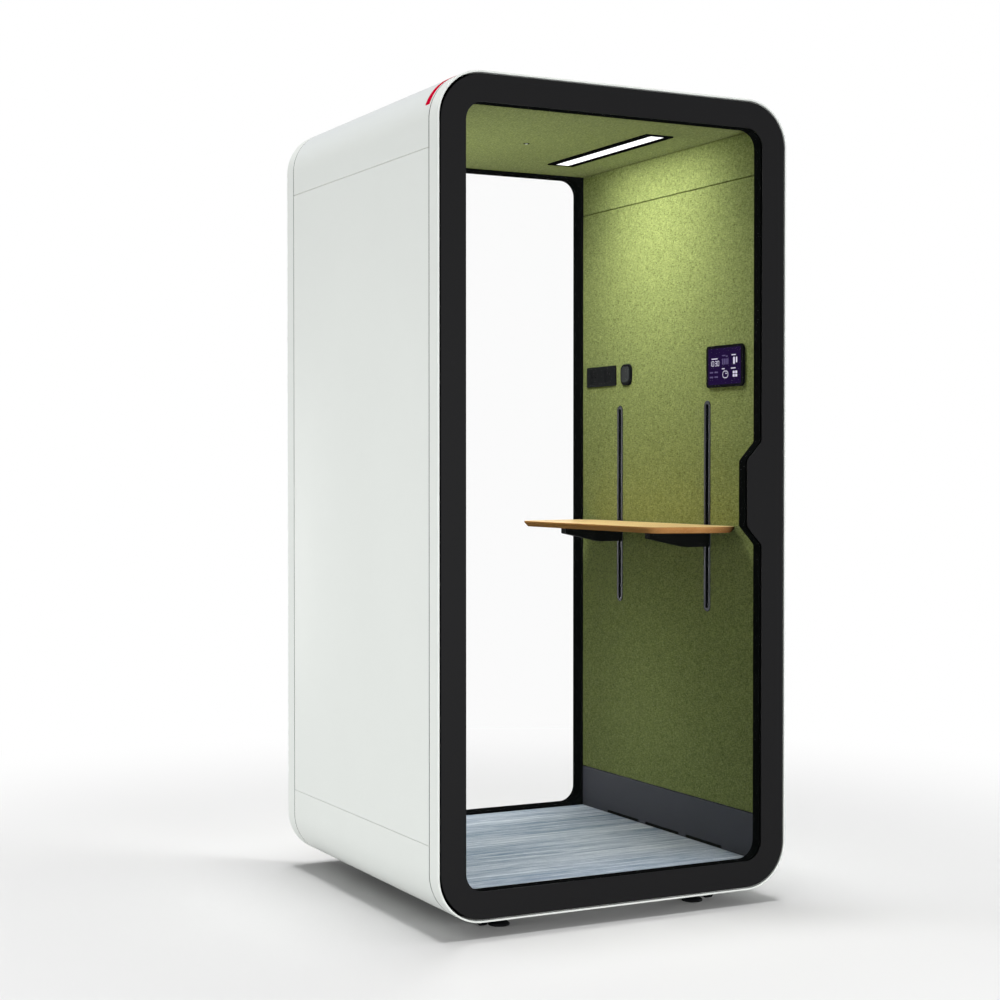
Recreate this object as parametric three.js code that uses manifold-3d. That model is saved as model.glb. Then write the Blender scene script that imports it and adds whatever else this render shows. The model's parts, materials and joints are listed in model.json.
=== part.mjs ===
// Acoustic office pod for one person, in millimetres, +Z up, standing on z = 0.
// +X is on the right of someone facing the door, and +Y runs from the door to the rear window.
// The origin is on the floor, under the middle of the shell.

import * as THREE from 'three';
import { mergeVertices } from 'three/addons/utils/BufferGeometryUtils.js';
import Module from 'manifold-3d';

const wasm = await Module();
wasm.setup();

// Overall sizes
const WIDTH = 1110;
const DEPTH = 1100;
const HEIGHT = 2300;
const GROUND_GAP = 42;
const CORNER_RADIUS = 132;
const WALL = 75;
const FIT = 0.3;
const RUNNING_GAP = 0.3;

// Shell
const SKIN = 2;
const RING_DEPTH = 53;
const RIM = 5;
const RING_SEAM = 3;
const PANEL_SEAM = 1.6;
const PANEL_RETURN = 20;
const BASE_HEIGHT = 207;
const ROOF_HEIGHT = 205;
const STATUS_SETBACK = 9;
const STATUS_WIDTH = 25;
const STATUS_FROM = 109;
const STATUS_TO = 161;

// Lining and floor
const FELT = 12;
const FELT_SEAM = 2;
const CARPET = 7;
const DECK = 18;
const DECK_LEDGE = 25;
const SKIRTING_SHEET = 2;
const SKIRTING_RETURN = 45;
const AIR_SLOT_LENGTH = 197;
const AIR_SLOT_HEIGHT = 9;
const AIR_SLOT_PITCH = 236;

// Base frame, levelling feet and transport rollers
const TUBE = 40;
const CROSS_TUBE = 70;
const FOOT_INSET = 241;
const FOOT_SETBACK = 119;
const FOOT_RADIUS = 30;
const FOOT_PAD = 9;
const FOOT_NECK = 5;
const STEM_RADIUS = 8;
const STEM_LENGTH = 84;
const STEM_HOLE_MARGIN = 3;
const ROLLER_OFFSET = 52;
const ROLLER_RADIUS = 22;
const ROLLER_WIDTH = 20;
const ROLLER_LIFT = 3;
const ROLLER_GAP = 1;
const ROLLER_CHEEK = 4;
const ROLLER_EAR = 10;
const AXLE_RADIUS = 4;

// Glazing frames
const BORDER = 78;
const OPENING_RADIUS = 52;
const BEZEL = 3;
const GLASS = 8;
const GLASS_LAP = 18;
const JAMB = 4;

// Door leaf
const DOOR_GAP = 4;
const LEAF_DEPTH = 44;
const HINGE_SIDE_RADIUS = 131;
const LOCK_REACH = 50;
const LOCK_LENGTH = 296;
const LOCK_SLOPE = 54;
const LOCK_FILLET = 16;
const LOCK_Z = 1178;
const GASKET_INSET = 58;
const GASKET_WIDTH = 12;
const HINGE_INSET = 18;
const HINGE_SETBACK = 3.5;
const HINGE_END = 250;
const PIN_RADIUS = 2.2;
const PIN_REACH = 18;
const ARM_HEIGHT = 36;
const ARM_OUTER = 0.2;
const ARM_INNER = 6;
const ARM_GAP = 1;
const ARM_PLATE = 3;
const ARM_PLATE_WIDTH = 24;
const PULL_LENGTH = 180;
const PULL_REACH = 38;
const PULL_BAR = 12;
const PULL_WIDTH = 16;
const PULL_RADIUS = 14;
const MAGNET_WIDTH = 18;
const MAGNET_HEIGHT = 60;
const MAGNET_INSET = 24;
const MAGNET_GAP = 0.8;

// Desk, rails and carriages
const DESK_TOP = 1080;
const DESK_THICKNESS = 18;
const DESK_DEPTH = 286;
const DESK_END_GAP = 21.7;
const DESK_TAPER = 70;
const DESK_FREE_RADIUS = 50;
const DESK_WALL_RADIUS = 75;
const DESK_EDGE = 5;
const DESK_UNDERCUT = 12;
const RAIL_SPACING = 510;
const RAIL_BOTTOM = 819;
const RAIL_LENGTH = 634;
const RAIL_WIDTH = 34;
const RAIL_DEPTH = 42;
const RAIL_PROUD = 1;
const RAIL_LIP = 6;
const RAIL_END = 10;
const RAIL_SLOT = 15;
const RAIL_CAVITY_WIDTH = 26;
const RAIL_CAVITY_DEPTH = 24;
const CARRIAGE_HEIGHT = 46;
const CARRIAGE_GAP = 0.5;
const BRACKET_WIDTH = 32;
const BRACKET_REACH = 208;
const BRACKET_DROP = 47;
const BRACKET_TIP = 20;
const BRACKET_BEND = 80;

// Wall units
const UNIT_Z = 1552;
const SOCKET_SETBACK = 179;
const SOCKET_WIDTH = 187;
const SOCKET_HEIGHT = 66;
const SOCKET_RADIUS = 5;
const SOCKET_PLATE = 4;
const SOCKET_BOX_MARGIN = 8;
const SOCKET_BOX_DEPTH = 40;
const OUTLET_SIZE = 40;
const OUTLET_DEPTH = 15;
const OUTLET_PITCH = 92;
const SWITCH_GAP = 33.5;
const SWITCH_WIDTH = 64;
const SWITCH_HEIGHT = 67;
const SWITCH_RADIUS = 22;
const SWITCH_PROUD = 6;
const SWITCH_DEPTH = 18;
const SWITCH_RIM = 8;
const SWITCH_FLOOR = 4;
const BUTTON_PROUD = 2.5;
const BUTTON_TRAVEL = 2.5;
const BUTTON_GAP = 0.4;
const SCREEN_SETBACK = 192.5;
const SCREEN_WIDTH = 194;
const SCREEN_HEIGHT = 124;
const SCREEN_RADIUS = 11;
const SCREEN_GLASS = 4;
const SCREEN_PROUD = 8;
const SCREEN_BOX_MARGIN = 4;
const SCREEN_BOX_DEPTH = 20;

// Ceiling and roof units
const LAMP_SETBACK = 197;
const LAMP_LENGTH = 602;
const LAMP_WIDTH = 94;
const LAMP_PROUD = 4;
const LAMP_RISE = 30;
const LAMP_BODY_MARGIN = 5;
const DIFFUSER_WIDTH = 48;
const DIFFUSER_END = 12;
const DIFFUSER_DEPTH = 8;
const SENSOR_RADIUS = 10;
const SENSOR_DROP = 3;
const SENSOR_STEM = 6;
const SENSOR_STEM_LENGTH = 10;
const FAN_INSET = 230;
const FAN_SETBACK = 370;
const FAN_SIZE = 120;
const FAN_HEIGHT = 26;
const FAN_BORE = 57;
const FAN_BOSS = 19;
const FAN_STRUT = 6;
const FAN_STRUT_HEIGHT = 4;
const FAN_HUB = 20;
const FAN_HUB_HEIGHT = 18;
const FAN_SHAFT = 3;
const FAN_SHAFT_LENGTH = 16;
const FAN_BLADES = 7;
const FAN_BLADE_CHORD = 24;
const FAN_BLADE_SHEET = 2;
const FAN_BLADE_PITCH = 35;
const FAN_TIP_GAP = 3;
const VENT_SIZE = 150;
const VENT_PLATE = 4;
const VENT_RADIUS = 8;
const VENT_SLOTS = 7;
const VENT_SLOT_WIDTH = 8;
const VENT_MARGIN = 19;
const POWER_X = 60;
const POWER_SETBACK = 220;
const POWER_LENGTH = 200;
const POWER_WIDTH = 90;
const POWER_HEIGHT = 46;
const INLET_WIDTH = 50;
const INLET_LENGTH = 34;
const INLET_WALL = 4;
const INLET_DEPTH = 18;

// How finely arcs and round pieces are faceted
const LARGE_ARC = 4;
const SMALL_ARC = 2;
const TINY_ARC = 1;
const ROUND = 16;
const CUT = 1;

// Places worked out from the sizes above
const SIDE = WIDTH / 2;
const FRONT = -DEPTH / 2;
const BACK = DEPTH / 2;
const BOTTOM = GROUND_GAP;
const SHELL_FRONT = FRONT + RING_DEPTH + RING_SEAM;
const SHELL_BACK = BACK - RING_DEPTH - RING_SEAM;
const LINING_FRONT = FRONT + RING_DEPTH + FIT;
const LINING_BACK = BACK - RING_DEPTH - FIT;
const LOWER_SEAM = BOTTOM + BASE_HEIGHT;
const UPPER_SEAM = HEIGHT - ROOF_HEIGHT;
const BASE_TOP = LOWER_SEAM - PANEL_SEAM / 2;
const ROOF_BOTTOM = UPPER_SEAM + PANEL_SEAM / 2;
const INNER_SIDE = SIDE - WALL;
const FELT_BACK = INNER_SIDE + FELT;
const CEILING = HEIGHT - WALL;
const FLOOR = BOTTOM + WALL;
const DECK_TOP = FLOOR - CARPET - FIT;
const DECK_BOTTOM = DECK_TOP - DECK;
const OPENING_INSET = RIM + BORDER;
const OPENING_SIDE = SIDE - OPENING_INSET;
const GLASS_INSET = OPENING_INSET - GLASS_LAP;
const LEAF_INSET = RIM + DOOR_GAP;
const LEAF_BACK = FRONT + LEAF_DEPTH;
const JAMB_FRONT = FRONT + RING_DEPTH - JAMB;
const HINGE_X = -SIDE + LEAF_INSET + HINGE_INSET;
const HINGE_Y = FRONT + HINGE_SETBACK;
const HINGE_HEIGHTS = { top: HEIGHT - HINGE_END, bottom: BOTTOM + HINGE_END };
const FOOT_X = SIDE - FOOT_INSET;
const FOOT_Y = DEPTH / 2 - FOOT_SETBACK;
const ROLLER_X = FOOT_X + ROLLER_OFFSET;
const ROLLER_Z = ROLLER_LIFT + ROLLER_RADIUS;
const CORNERS = [
  ['front_left', -1, -1],
  ['front_right', 1, -1],
  ['rear_left', -1, 1],
  ['rear_right', 1, 1],
];
const RAIL_FACE = INNER_SIDE - RAIL_PROUD;
const RAIL_SIDES = [
  ['front', -RAIL_SPACING / 2],
  ['rear', RAIL_SPACING / 2],
];
const DESK_UNDERSIDE = DESK_TOP - DESK_THICKNESS;
const BRACKET_TOP = DESK_UNDERSIDE - FIT;
const DESK_WALL_HALF = LINING_BACK - DESK_END_GAP;
const SOCKET_Y = BACK - SOCKET_SETBACK;
const SWITCH_Y = SOCKET_Y - SOCKET_WIDTH / 2 - SWITCH_GAP - SWITCH_WIDTH / 2;
const SCREEN_Y = FRONT + SCREEN_SETBACK;
const LAMP_X = INNER_SIDE - LAMP_SETBACK;
const FAN_X = FAN_INSET - INNER_SIDE;
const FAN_Y = BACK - FAN_SETBACK;
const FAN_BOTTOM = CEILING + FELT + FIT;
const POWER_Y = BACK - POWER_SETBACK;

// Materials: one builder for each finish, because every mesh has a material of its own.
function paint(color, roughness, metalness) {
  return () => new THREE.MeshStandardMaterial({ color, roughness, metalness });
}

const WHITE_PAINT = paint(0xe2e7e3, 0.4, 0);
const BLACK_PAINT = paint(0x252525, 0.5, 0.1);
const DARK_GREY_PAINT = paint(0x37383b, 0.55, 0.1);
const GREEN_FELT = paint(0x8f9c5e, 0.95, 0);
const GREY_CARPET = paint(0x838e96, 0.95, 0);
const PLYWOOD = paint(0xb99a6b, 0.8, 0);
const INSULATION = paint(0xa9a596, 0.95, 0);
const STEEL = paint(0x8d9094, 0.4, 0.9);
const CLEAR_GLASS = paint(0xdfe8e6, 0.05, 0);
const BLACK_RUBBER = paint(0x111111, 0.85, 0);
const OAK = paint(0xedd093, 0.5, 0);
const ALUMINIUM = paint(0x6f7175, 0.35, 0.9);
const BLACK_PLASTIC = paint(0x1b1c1e, 0.5, 0);
const GREY_PLASTIC = paint(0x333536, 0.5, 0);
const SCREEN_BLACK = paint(0x21113a, 0.08, 0);
const OPAL = paint(0xffffff, 0.4, 0);
const RED_LIGHT = paint(0xe10a28, 0.3, 0);

// A closed geometry as a solid that can be joined and cut.
function solid(geometry) {
  const bare = geometry.clone();
  bare.deleteAttribute('normal');
  bare.deleteAttribute('uv');
  const merged = mergeVertices(bare, 1e-4);
  const vertProperties = new Float32Array(merged.attributes.position.array);
  const triVerts = new Uint32Array(merged.index.array);
  return new wasm.Manifold(new wasm.Mesh({ numProp: 3, vertProperties, triVerts }));
}

// A joined or cut solid as a geometry again.
function geometryOf(body) {
  const mesh = body.getMesh();
  const geometry = new THREE.BufferGeometry();
  geometry.setAttribute('position', new THREE.BufferAttribute(mesh.vertProperties, 3));
  geometry.setIndex(new THREE.BufferAttribute(mesh.triVerts, 1));
  geometry.computeVertexNormals();
  return geometry;
}

function join(...pieces) {
  return geometryOf(pieces.map(solid).reduce((sum, piece) => sum.add(piece)));
}

function cut(piece, ...tools) {
  return geometryOf(tools.map(solid).reduce((rest, tool) => rest.subtract(tool), solid(piece)));
}

// An outline through corners [x, y, radius], each rounded by an arc; radius 0 keeps it sharp.
function filleted(corners) {
  const shape = new THREE.Shape();
  corners.forEach(([x, y, radius], index) => {
    const corner = new THREE.Vector2(x, y);
    if (radius <= 0) {
      if (index === 0) shape.moveTo(x, y);
      else shape.lineTo(x, y);
      return;
    }
    const [beforeX, beforeY] = corners.at(index - 1);
    const [afterX, afterY] = corners[(index + 1) % corners.length];
    const back = new THREE.Vector2(beforeX, beforeY).sub(corner).normalize();
    const ahead = new THREE.Vector2(afterX, afterY).sub(corner).normalize();
    const half = Math.acos(back.dot(ahead)) / 2;
    const middle = back.clone().add(ahead).normalize();
    const centre = corner.clone().addScaledVector(middle, radius / Math.sin(half));
    const start = corner.clone().addScaledVector(back, radius / Math.tan(half)).sub(centre);
    const end = corner.clone().addScaledVector(ahead, radius / Math.tan(half)).sub(centre);
    const clockwise = back.cross(ahead) > 0;
    shape.absarc(centre.x, centre.y, radius, start.angle(), end.angle(), clockwise);
  });
  shape.closePath();
  return shape;
}

// A rectangle of the given size about (x, y), with rounded corners.
function roundedRectangle(x, y, width, height, radius) {
  const right = x + width / 2;
  const left = x - width / 2;
  const top = y + height / 2;
  const low = y - height / 2;
  return filleted([[left, low, radius], [right, low, radius], [right, top, radius], [left, top, radius]]);
}

// The pod's rounded front view, moved inwards by inset.
function podOutline(inset, radius = CORNER_RADIUS - inset, leftRadius = radius) {
  const side = SIDE - inset;
  const low = BOTTOM + inset;
  const high = HEIGHT - inset;
  return filleted([
    [-side, low, leftRadius],
    [side, low, radius],
    [side, high, radius],
    [-side, high, leftRadius],
  ]);
}

function withHoles(shape, ...holes) {
  shape.holes.push(...holes);
  return shape;
}

function extruded(shape, length, arc) {
  return new THREE.ExtrudeGeometry(shape, { depth: length, bevelEnabled: false, curveSegments: arc });
}

// Extrusions of an (x, z) outline along Y, of a (y, z) outline along X and of an (x, y) outline along Z.
function alongY(shape, from, to, arc = LARGE_ARC) {
  const turn = new THREE.Matrix4().set(1, 0, 0, 0, 0, 0, -1, to, 0, 1, 0, 0, 0, 0, 0, 1);
  return extruded(shape, to - from, arc).applyMatrix4(turn);
}

function alongX(shape, from, to, arc = SMALL_ARC) {
  const turn = new THREE.Matrix4().set(0, 0, 1, from, 1, 0, 0, 0, 0, 1, 0, 0, 0, 0, 0, 1);
  return extruded(shape, to - from, arc).applyMatrix4(turn);
}

function alongZ(shape, from, to, arc = SMALL_ARC) {
  return extruded(shape, to - from, arc).translate(0, 0, from);
}

function box([x0, x1], [y0, y1], [z0, z1]) {
  const geometry = new THREE.BoxGeometry(x1 - x0, y1 - y0, z1 - z0);
  return geometry.translate((x0 + x1) / 2, (y0 + y1) / 2, (z0 + z1) / 2);
}

// Round bars about an axis through the given point, along Z and along X.
function barZ(x, y, radius, [z0, z1]) {
  const bar = new THREE.CylinderGeometry(radius, radius, z1 - z0, ROUND);
  return bar.rotateX(Math.PI / 2).translate(x, y, (z0 + z1) / 2);
}

function barX(y, z, radius, [x0, x1]) {
  const bar = new THREE.CylinderGeometry(radius, radius, x1 - x0, ROUND);
  return bar.rotateZ(Math.PI / 2).translate((x0 + x1) / 2, y, z);
}

// A turned piece about Z from its profile of [radius, height], which starts and ends on the axis.
function turned(profile) {
  const points = profile.map(([radius, height]) => new THREE.Vector2(radius, height));
  return new THREE.LatheGeometry(points, ROUND).rotateX(Math.PI / 2);
}

// A slab whose outline changes with height: levels of [points, z], the lowest first.
function lofted(levels) {
  const count = levels[0][0].length;
  const positions = levels.flatMap(([points, z]) => points.flatMap((point) => [point.x, point.y, z]));
  const index = [];
  for (let level = 0; level + 1 < levels.length; level += 1) {
    for (let i = 0; i < count; i += 1) {
      const next = (i + 1) % count;
      const low = level * count;
      const high = low + count;
      index.push(low + i, low + next, high + next, low + i, high + next, high + i);
    }
  }
  const last = (levels.length - 1) * count;
  for (const [a, b, c] of THREE.ShapeUtils.triangulateShape(levels[0][0], [])) {
    index.push(c, b, a);
    index.push(last + a, last + b, last + c);
  }
  const geometry = new THREE.BufferGeometry();
  geometry.setAttribute('position', new THREE.Float32BufferAttribute(positions, 3));
  geometry.setIndex(index);
  geometry.computeVertexNormals();
  return geometry;
}

function mesh(name, geometry, finish) {
  const piece = new THREE.Mesh(geometry, finish());
  piece.name = name;
  return piece;
}

function group(...pieces) {
  return new THREE.Group().add(...pieces);
}

// A range of the given half-width about a middle value.
function about(middle, half) {
  return [middle - half, middle + half];
}

// An x range given by its distances from the middle, on the left (-1) or the right (1).
function sideRange(side, near, far) {
  return side > 0 ? [near, far] : [-far, -near];
}

function circle(radius) {
  return new THREE.Shape().absarc(0, 0, radius, 0, 2 * Math.PI, false);
}

// White rings round the front and the rear, and the black plate behind the front one that the door shuts on.
function makeRings() {
  const ringShape = () => withHoles(podOutline(0), podOutline(RIM));
  const jambShape = withHoles(podOutline(RIM + FIT), podOutline(WALL));
  return group(
    mesh('front_ring', alongY(ringShape(), FRONT, FRONT + RING_DEPTH), WHITE_PAINT),
    mesh('rear_ring', alongY(ringShape(), BACK - RING_DEPTH, BACK), WHITE_PAINT),
    mesh('front_jamb', alongY(jambShape, JAMB_FRONT, JAMB_FRONT + JAMB), BLACK_PAINT),
  );
}

// Section of the folded skin that wraps the base or the roof, from the inward flange on one side, round both
// corners, to the flange on the other side. edge is the outer face of the base or roof.
function wrapOutline(edge, flange) {
  const inwards = Math.sign(flange - edge) * SKIN;
  const tip = FELT_BACK + FIT;
  const inner = SIDE - SKIN;
  const innerRadius = CORNER_RADIUS - SKIN;
  return filleted([
    [-tip, flange, 0],
    [-SIDE, flange, 0],
    [-SIDE, edge, CORNER_RADIUS],
    [SIDE, edge, CORNER_RADIUS],
    [SIDE, flange, 0],
    [tip, flange, 0],
    [tip, flange - inwards, 0],
    [inner, flange - inwards, 0],
    [inner, edge + inwards, innerRadius],
    [-inner, edge + inwards, innerRadius],
    [-inner, flange - inwards, 0],
    [-tip, flange - inwards, 0],
  ]);
}

function makeBaseShell() {
  const through = [BOTTOM - CUT, BOTTOM + SKIN + CUT];
  const slotHalf = ROLLER_WIDTH / 2 + ROLLER_GAP + ROLLER_CHEEK + ROLLER_GAP;
  const holes = CORNERS.flatMap(([, x, y]) => [
    barZ(x * FOOT_X, y * FOOT_Y, STEM_RADIUS + STEM_HOLE_MARGIN, through),
    box(about(x * ROLLER_X, slotHalf), about(y * FOOT_Y, ROLLER_RADIUS + ROLLER_GAP), through),
  ]);
  const skin = alongY(wrapOutline(BOTTOM, BASE_TOP), SHELL_FRONT, SHELL_BACK);
  return mesh('base_shell', cut(skin, ...holes), WHITE_PAINT);
}

// Arc of a ring about the centre of the shell's upper left corner, between two angles in degrees.
function cornerArc(inner, outer, from, to) {
  const x = -SIDE + CORNER_RADIUS;
  const z = HEIGHT - CORNER_RADIUS;
  const start = THREE.MathUtils.degToRad(from);
  const end = THREE.MathUtils.degToRad(to);
  const shape = new THREE.Shape();
  shape.absarc(x, z, outer, start, end, false);
  shape.absarc(x, z, inner, end, start, true);
  shape.closePath();
  return shape;
}

// Roof skin with the holes for the vent, the power inlet and the status light at its front left corner.
function makeRoofShell() {
  const through = [HEIGHT - SKIN - CUT, HEIGHT + CUT];
  const lightStart = SHELL_FRONT + STATUS_SETBACK;
  const lightEnd = lightStart + STATUS_WIDTH;
  const slack = THREE.MathUtils.radToDeg(FIT / CORNER_RADIUS);
  const lightHole = cornerArc(
    CORNER_RADIUS - SKIN - CUT, CORNER_RADIUS + CUT, STATUS_FROM - slack, STATUS_TO + slack);
  const light = cornerArc(CORNER_RADIUS - SKIN, CORNER_RADIUS, STATUS_FROM, STATUS_TO);
  const vent = roundedRectangle(FAN_X, FAN_Y, VENT_SIZE + 2 * FIT, VENT_SIZE + 2 * FIT, VENT_RADIUS + FIT);
  const skin = cut(
    alongY(wrapOutline(HEIGHT, ROOF_BOTTOM), SHELL_FRONT, SHELL_BACK),
    alongY(lightHole, lightStart - FIT, lightEnd + FIT),
    alongZ(vent, ...through),
    box(about(POWER_X, INLET_WIDTH / 2 + FIT), about(POWER_Y, INLET_LENGTH / 2 + FIT), through),
  );
  return group(
    mesh('roof_shell', skin, WHITE_PAINT),
    mesh('status_light', alongY(light, lightStart, lightEnd), RED_LIGHT),
  );
}

// Outer side panels, folded in along their front and rear edges.
function makeSidePanels() {
  return group(...[['left', -1], ['right', 1]].map(([name, side]) => {
    const section = filleted([
      [side * SIDE, SHELL_FRONT, 0],
      [side * SIDE, SHELL_BACK, 0],
      [side * (SIDE - PANEL_RETURN), SHELL_BACK, 0],
      [side * (SIDE - PANEL_RETURN), SHELL_BACK - SKIN, 0],
      [side * (SIDE - SKIN), SHELL_BACK - SKIN, 0],
      [side * (SIDE - SKIN), SHELL_FRONT + SKIN, 0],
      [side * (SIDE - PANEL_RETURN), SHELL_FRONT + SKIN, 0],
      [side * (SIDE - PANEL_RETURN), SHELL_FRONT, 0],
    ]);
    const panel = alongZ(section, LOWER_SEAM + PANEL_SEAM / 2, UPPER_SEAM - PANEL_SEAM / 2);
    return mesh(`${name}_outer_panel`, panel, WHITE_PAINT);
  }));
}

// Outlines, seen from inside, of what is let into the right wall, widened by a clearance.
function railOutline(y, clearance) {
  const middle = RAIL_BOTTOM + RAIL_LENGTH / 2;
  const width = RAIL_WIDTH + 2 * clearance;
  return roundedRectangle(y, middle, width, RAIL_LENGTH + 2 * clearance, width / 2);
}

function socketBoxOutline(clearance) {
  const width = SOCKET_WIDTH - 2 * SOCKET_BOX_MARGIN + 2 * clearance;
  const height = SOCKET_HEIGHT - 2 * SOCKET_BOX_MARGIN + 2 * clearance;
  return roundedRectangle(SOCKET_Y, UNIT_Z, width, height, SOCKET_RADIUS + clearance);
}

function switchOutline(clearance) {
  const width = SWITCH_WIDTH + 2 * clearance;
  const height = SWITCH_HEIGHT + 2 * clearance;
  return roundedRectangle(SWITCH_Y, UNIT_Z, width, height, SWITCH_RADIUS + clearance);
}

function screenBoxOutline(clearance) {
  const width = SCREEN_WIDTH - 2 * SCREEN_BOX_MARGIN + 2 * clearance;
  const height = SCREEN_HEIGHT - 2 * SCREEN_BOX_MARGIN + 2 * clearance;
  return roundedRectangle(SCREEN_Y, UNIT_Z, width, height, SCREEN_RADIUS + clearance);
}

// The openings for them in the right wall, each with its depth behind the felt's face.
function wallRecesses() {
  return [
    ...RAIL_SIDES.map(([, y]) => ({ shape: railOutline(y, FIT), depth: RAIL_DEPTH })),
    { shape: socketBoxOutline(FIT), depth: SOCKET_BOX_DEPTH },
    { shape: switchOutline(FIT), depth: SWITCH_DEPTH },
    { shape: screenBoxOutline(FIT), depth: SCREEN_BOX_DEPTH },
  ];
}

// Insulation between the outer panels and the felt, recessed on the right behind the wall units.
function makeWallCores() {
  const across = [FELT_BACK + FIT, SIDE - SKIN - FIT];
  const along = [SHELL_FRONT + SKIN + FIT, SHELL_BACK - SKIN - FIT];
  const up = [BASE_TOP + FIT, ROOF_BOTTOM - FIT];
  const pockets = wallRecesses()
    .filter(({ depth }) => depth > FELT)
    .map(({ shape, depth }) => alongX(shape, FELT_BACK - CUT, INNER_SIDE + depth + FIT));
  return group(
    mesh('left_wall_core', box(sideRange(-1, ...across), along, up), INSULATION),
    mesh('right_wall_core', cut(box(sideRange(1, ...across), along, up), ...pockets), INSULATION),
  );
}

// Felt lining: a wall panel on each side, a header strip above it and the ceiling.
function makeFelt() {
  const face = [INNER_SIDE, FELT_BACK];
  const along = [LINING_FRONT, LINING_BACK];
  const wall = [LOWER_SEAM + FELT_SEAM / 2, UPPER_SEAM - FELT_SEAM / 2];
  const header = [UPPER_SEAM + FELT_SEAM / 2, CEILING - FIT];
  const wallShape = filleted([
    [along[0], wall[0], 0],
    [along[1], wall[0], 0],
    [along[1], wall[1], 0],
    [along[0], wall[1], 0],
  ]);
  withHoles(wallShape, ...wallRecesses().map(({ shape }) => shape));
  return group(
    mesh('left_felt_panel', box(sideRange(-1, ...face), along, wall), GREEN_FELT),
    mesh('right_felt_panel', alongX(wallShape, ...face), GREEN_FELT),
    mesh('left_felt_header', box(sideRange(-1, ...face), along, header), GREEN_FELT),
    mesh('right_felt_header', box(sideRange(1, ...face), along, header), GREEN_FELT),
    mesh('ceiling_felt', makeCeilingGeometry(along), GREEN_FELT),
  );
}

// Ceiling panel with openings for the lamp, the sensor's stem and the fan.
function makeCeilingGeometry(along) {
  const through = [CEILING - CUT, CEILING + FELT + CUT];
  const lampHalf = LAMP_WIDTH / 2 - LAMP_BODY_MARGIN + FIT;
  const lampEnd = LAMP_LENGTH / 2 - LAMP_BODY_MARGIN + FIT;
  return cut(
    box([-FELT_BACK, FELT_BACK], along, [CEILING, CEILING + FELT]),
    box(about(LAMP_X, lampHalf), about(0, lampEnd), through),
    barZ(0, 0, SENSOR_STEM + FIT, through),
    barZ(FAN_X, FAN_Y, FAN_BORE, through),
  );
}

// Insulation that fills the roof, shaped like an upturned trough, with room for the lamp, fan and power unit.
function makeRoofCore() {
  const outer = SIDE - SKIN - FIT;
  const top = HEIGHT - SKIN - FIT;
  const radius = CORNER_RADIUS - SKIN - FIT;
  const inner = FELT_BACK + FIT;
  const low = ROOF_BOTTOM + SKIN + FIT;
  const ceiling = CEILING + FELT + FIT;
  const section = filleted([
    [inner, low, 0],
    [outer, low, 0],
    [outer, top, radius],
    [-outer, top, radius],
    [-outer, low, 0],
    [-inner, low, 0],
    [-inner, ceiling, 0],
    [inner, ceiling, 0],
  ]);
  const lampHalf = LAMP_WIDTH / 2 - LAMP_BODY_MARGIN + FIT;
  const lampEnd = LAMP_LENGTH / 2 - LAMP_BODY_MARGIN + FIT;
  const fanHalf = FAN_SIZE / 2 + FIT;
  const powerDeep = top - POWER_HEIGHT - FIT;
  const core = cut(
    alongY(section, LINING_FRONT, LINING_BACK),
    box(about(LAMP_X, lampHalf), about(0, lampEnd), [ceiling - CUT, CEILING + LAMP_RISE + FIT]),
    box(about(FAN_X, fanHalf), about(FAN_Y, fanHalf), [ceiling - CUT, top + CUT]),
    box(
      about(POWER_X, POWER_LENGTH / 2 + FIT),
      about(POWER_Y, POWER_WIDTH / 2 + FIT),
      [powerDeep, top + CUT]),
  );
  return mesh('roof_core', core, INSULATION);
}

// Carpet on a plywood deck, and the skirtings whose notches at the floor let air in.
function makeFloor() {
  const along = [LINING_FRONT, LINING_BACK];
  const deckHalf = INNER_SIDE + DECK_LEDGE;
  return group(
    mesh('floor_deck', box(about(0, deckHalf), along, [DECK_BOTTOM, DECK_TOP]), PLYWOOD),
    mesh('carpet', box(about(0, INNER_SIDE - FIT), along, [FLOOR - CARPET, FLOOR]), GREY_CARPET),
    makeSkirting('left', -1),
    makeSkirting('right', 1),
  );
}

function makeSkirting(name, side) {
  const low = DECK_TOP + FIT;
  const under = BASE_TOP - SKIN - FIT;
  const sheet = INNER_SIDE + SKIRTING_SHEET;
  const section = filleted([
    [side * INNER_SIDE, low, 0],
    [side * INNER_SIDE, BASE_TOP, 0],
    [side * sheet, BASE_TOP, 0],
    [side * sheet, under, 0],
    [side * (sheet + SKIRTING_RETURN), under, 0],
    [side * (sheet + SKIRTING_RETURN), under - SKIRTING_SHEET, 0],
    [side * sheet, under - SKIRTING_SHEET, 0],
    [side * sheet, low, 0],
  ]);
  const across = sideRange(side, INNER_SIDE - CUT, sheet + CUT);
  const slots = [-1, 0, 1].map((place) => box(
    across, about(place * AIR_SLOT_PITCH, AIR_SLOT_LENGTH / 2), [low - CUT, FLOOR + AIR_SLOT_HEIGHT]));
  return mesh(`${name}_skirting`, cut(alongY(section, LINING_FRONT, LINING_BACK), ...slots), DARK_GREY_PAINT);
}

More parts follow.
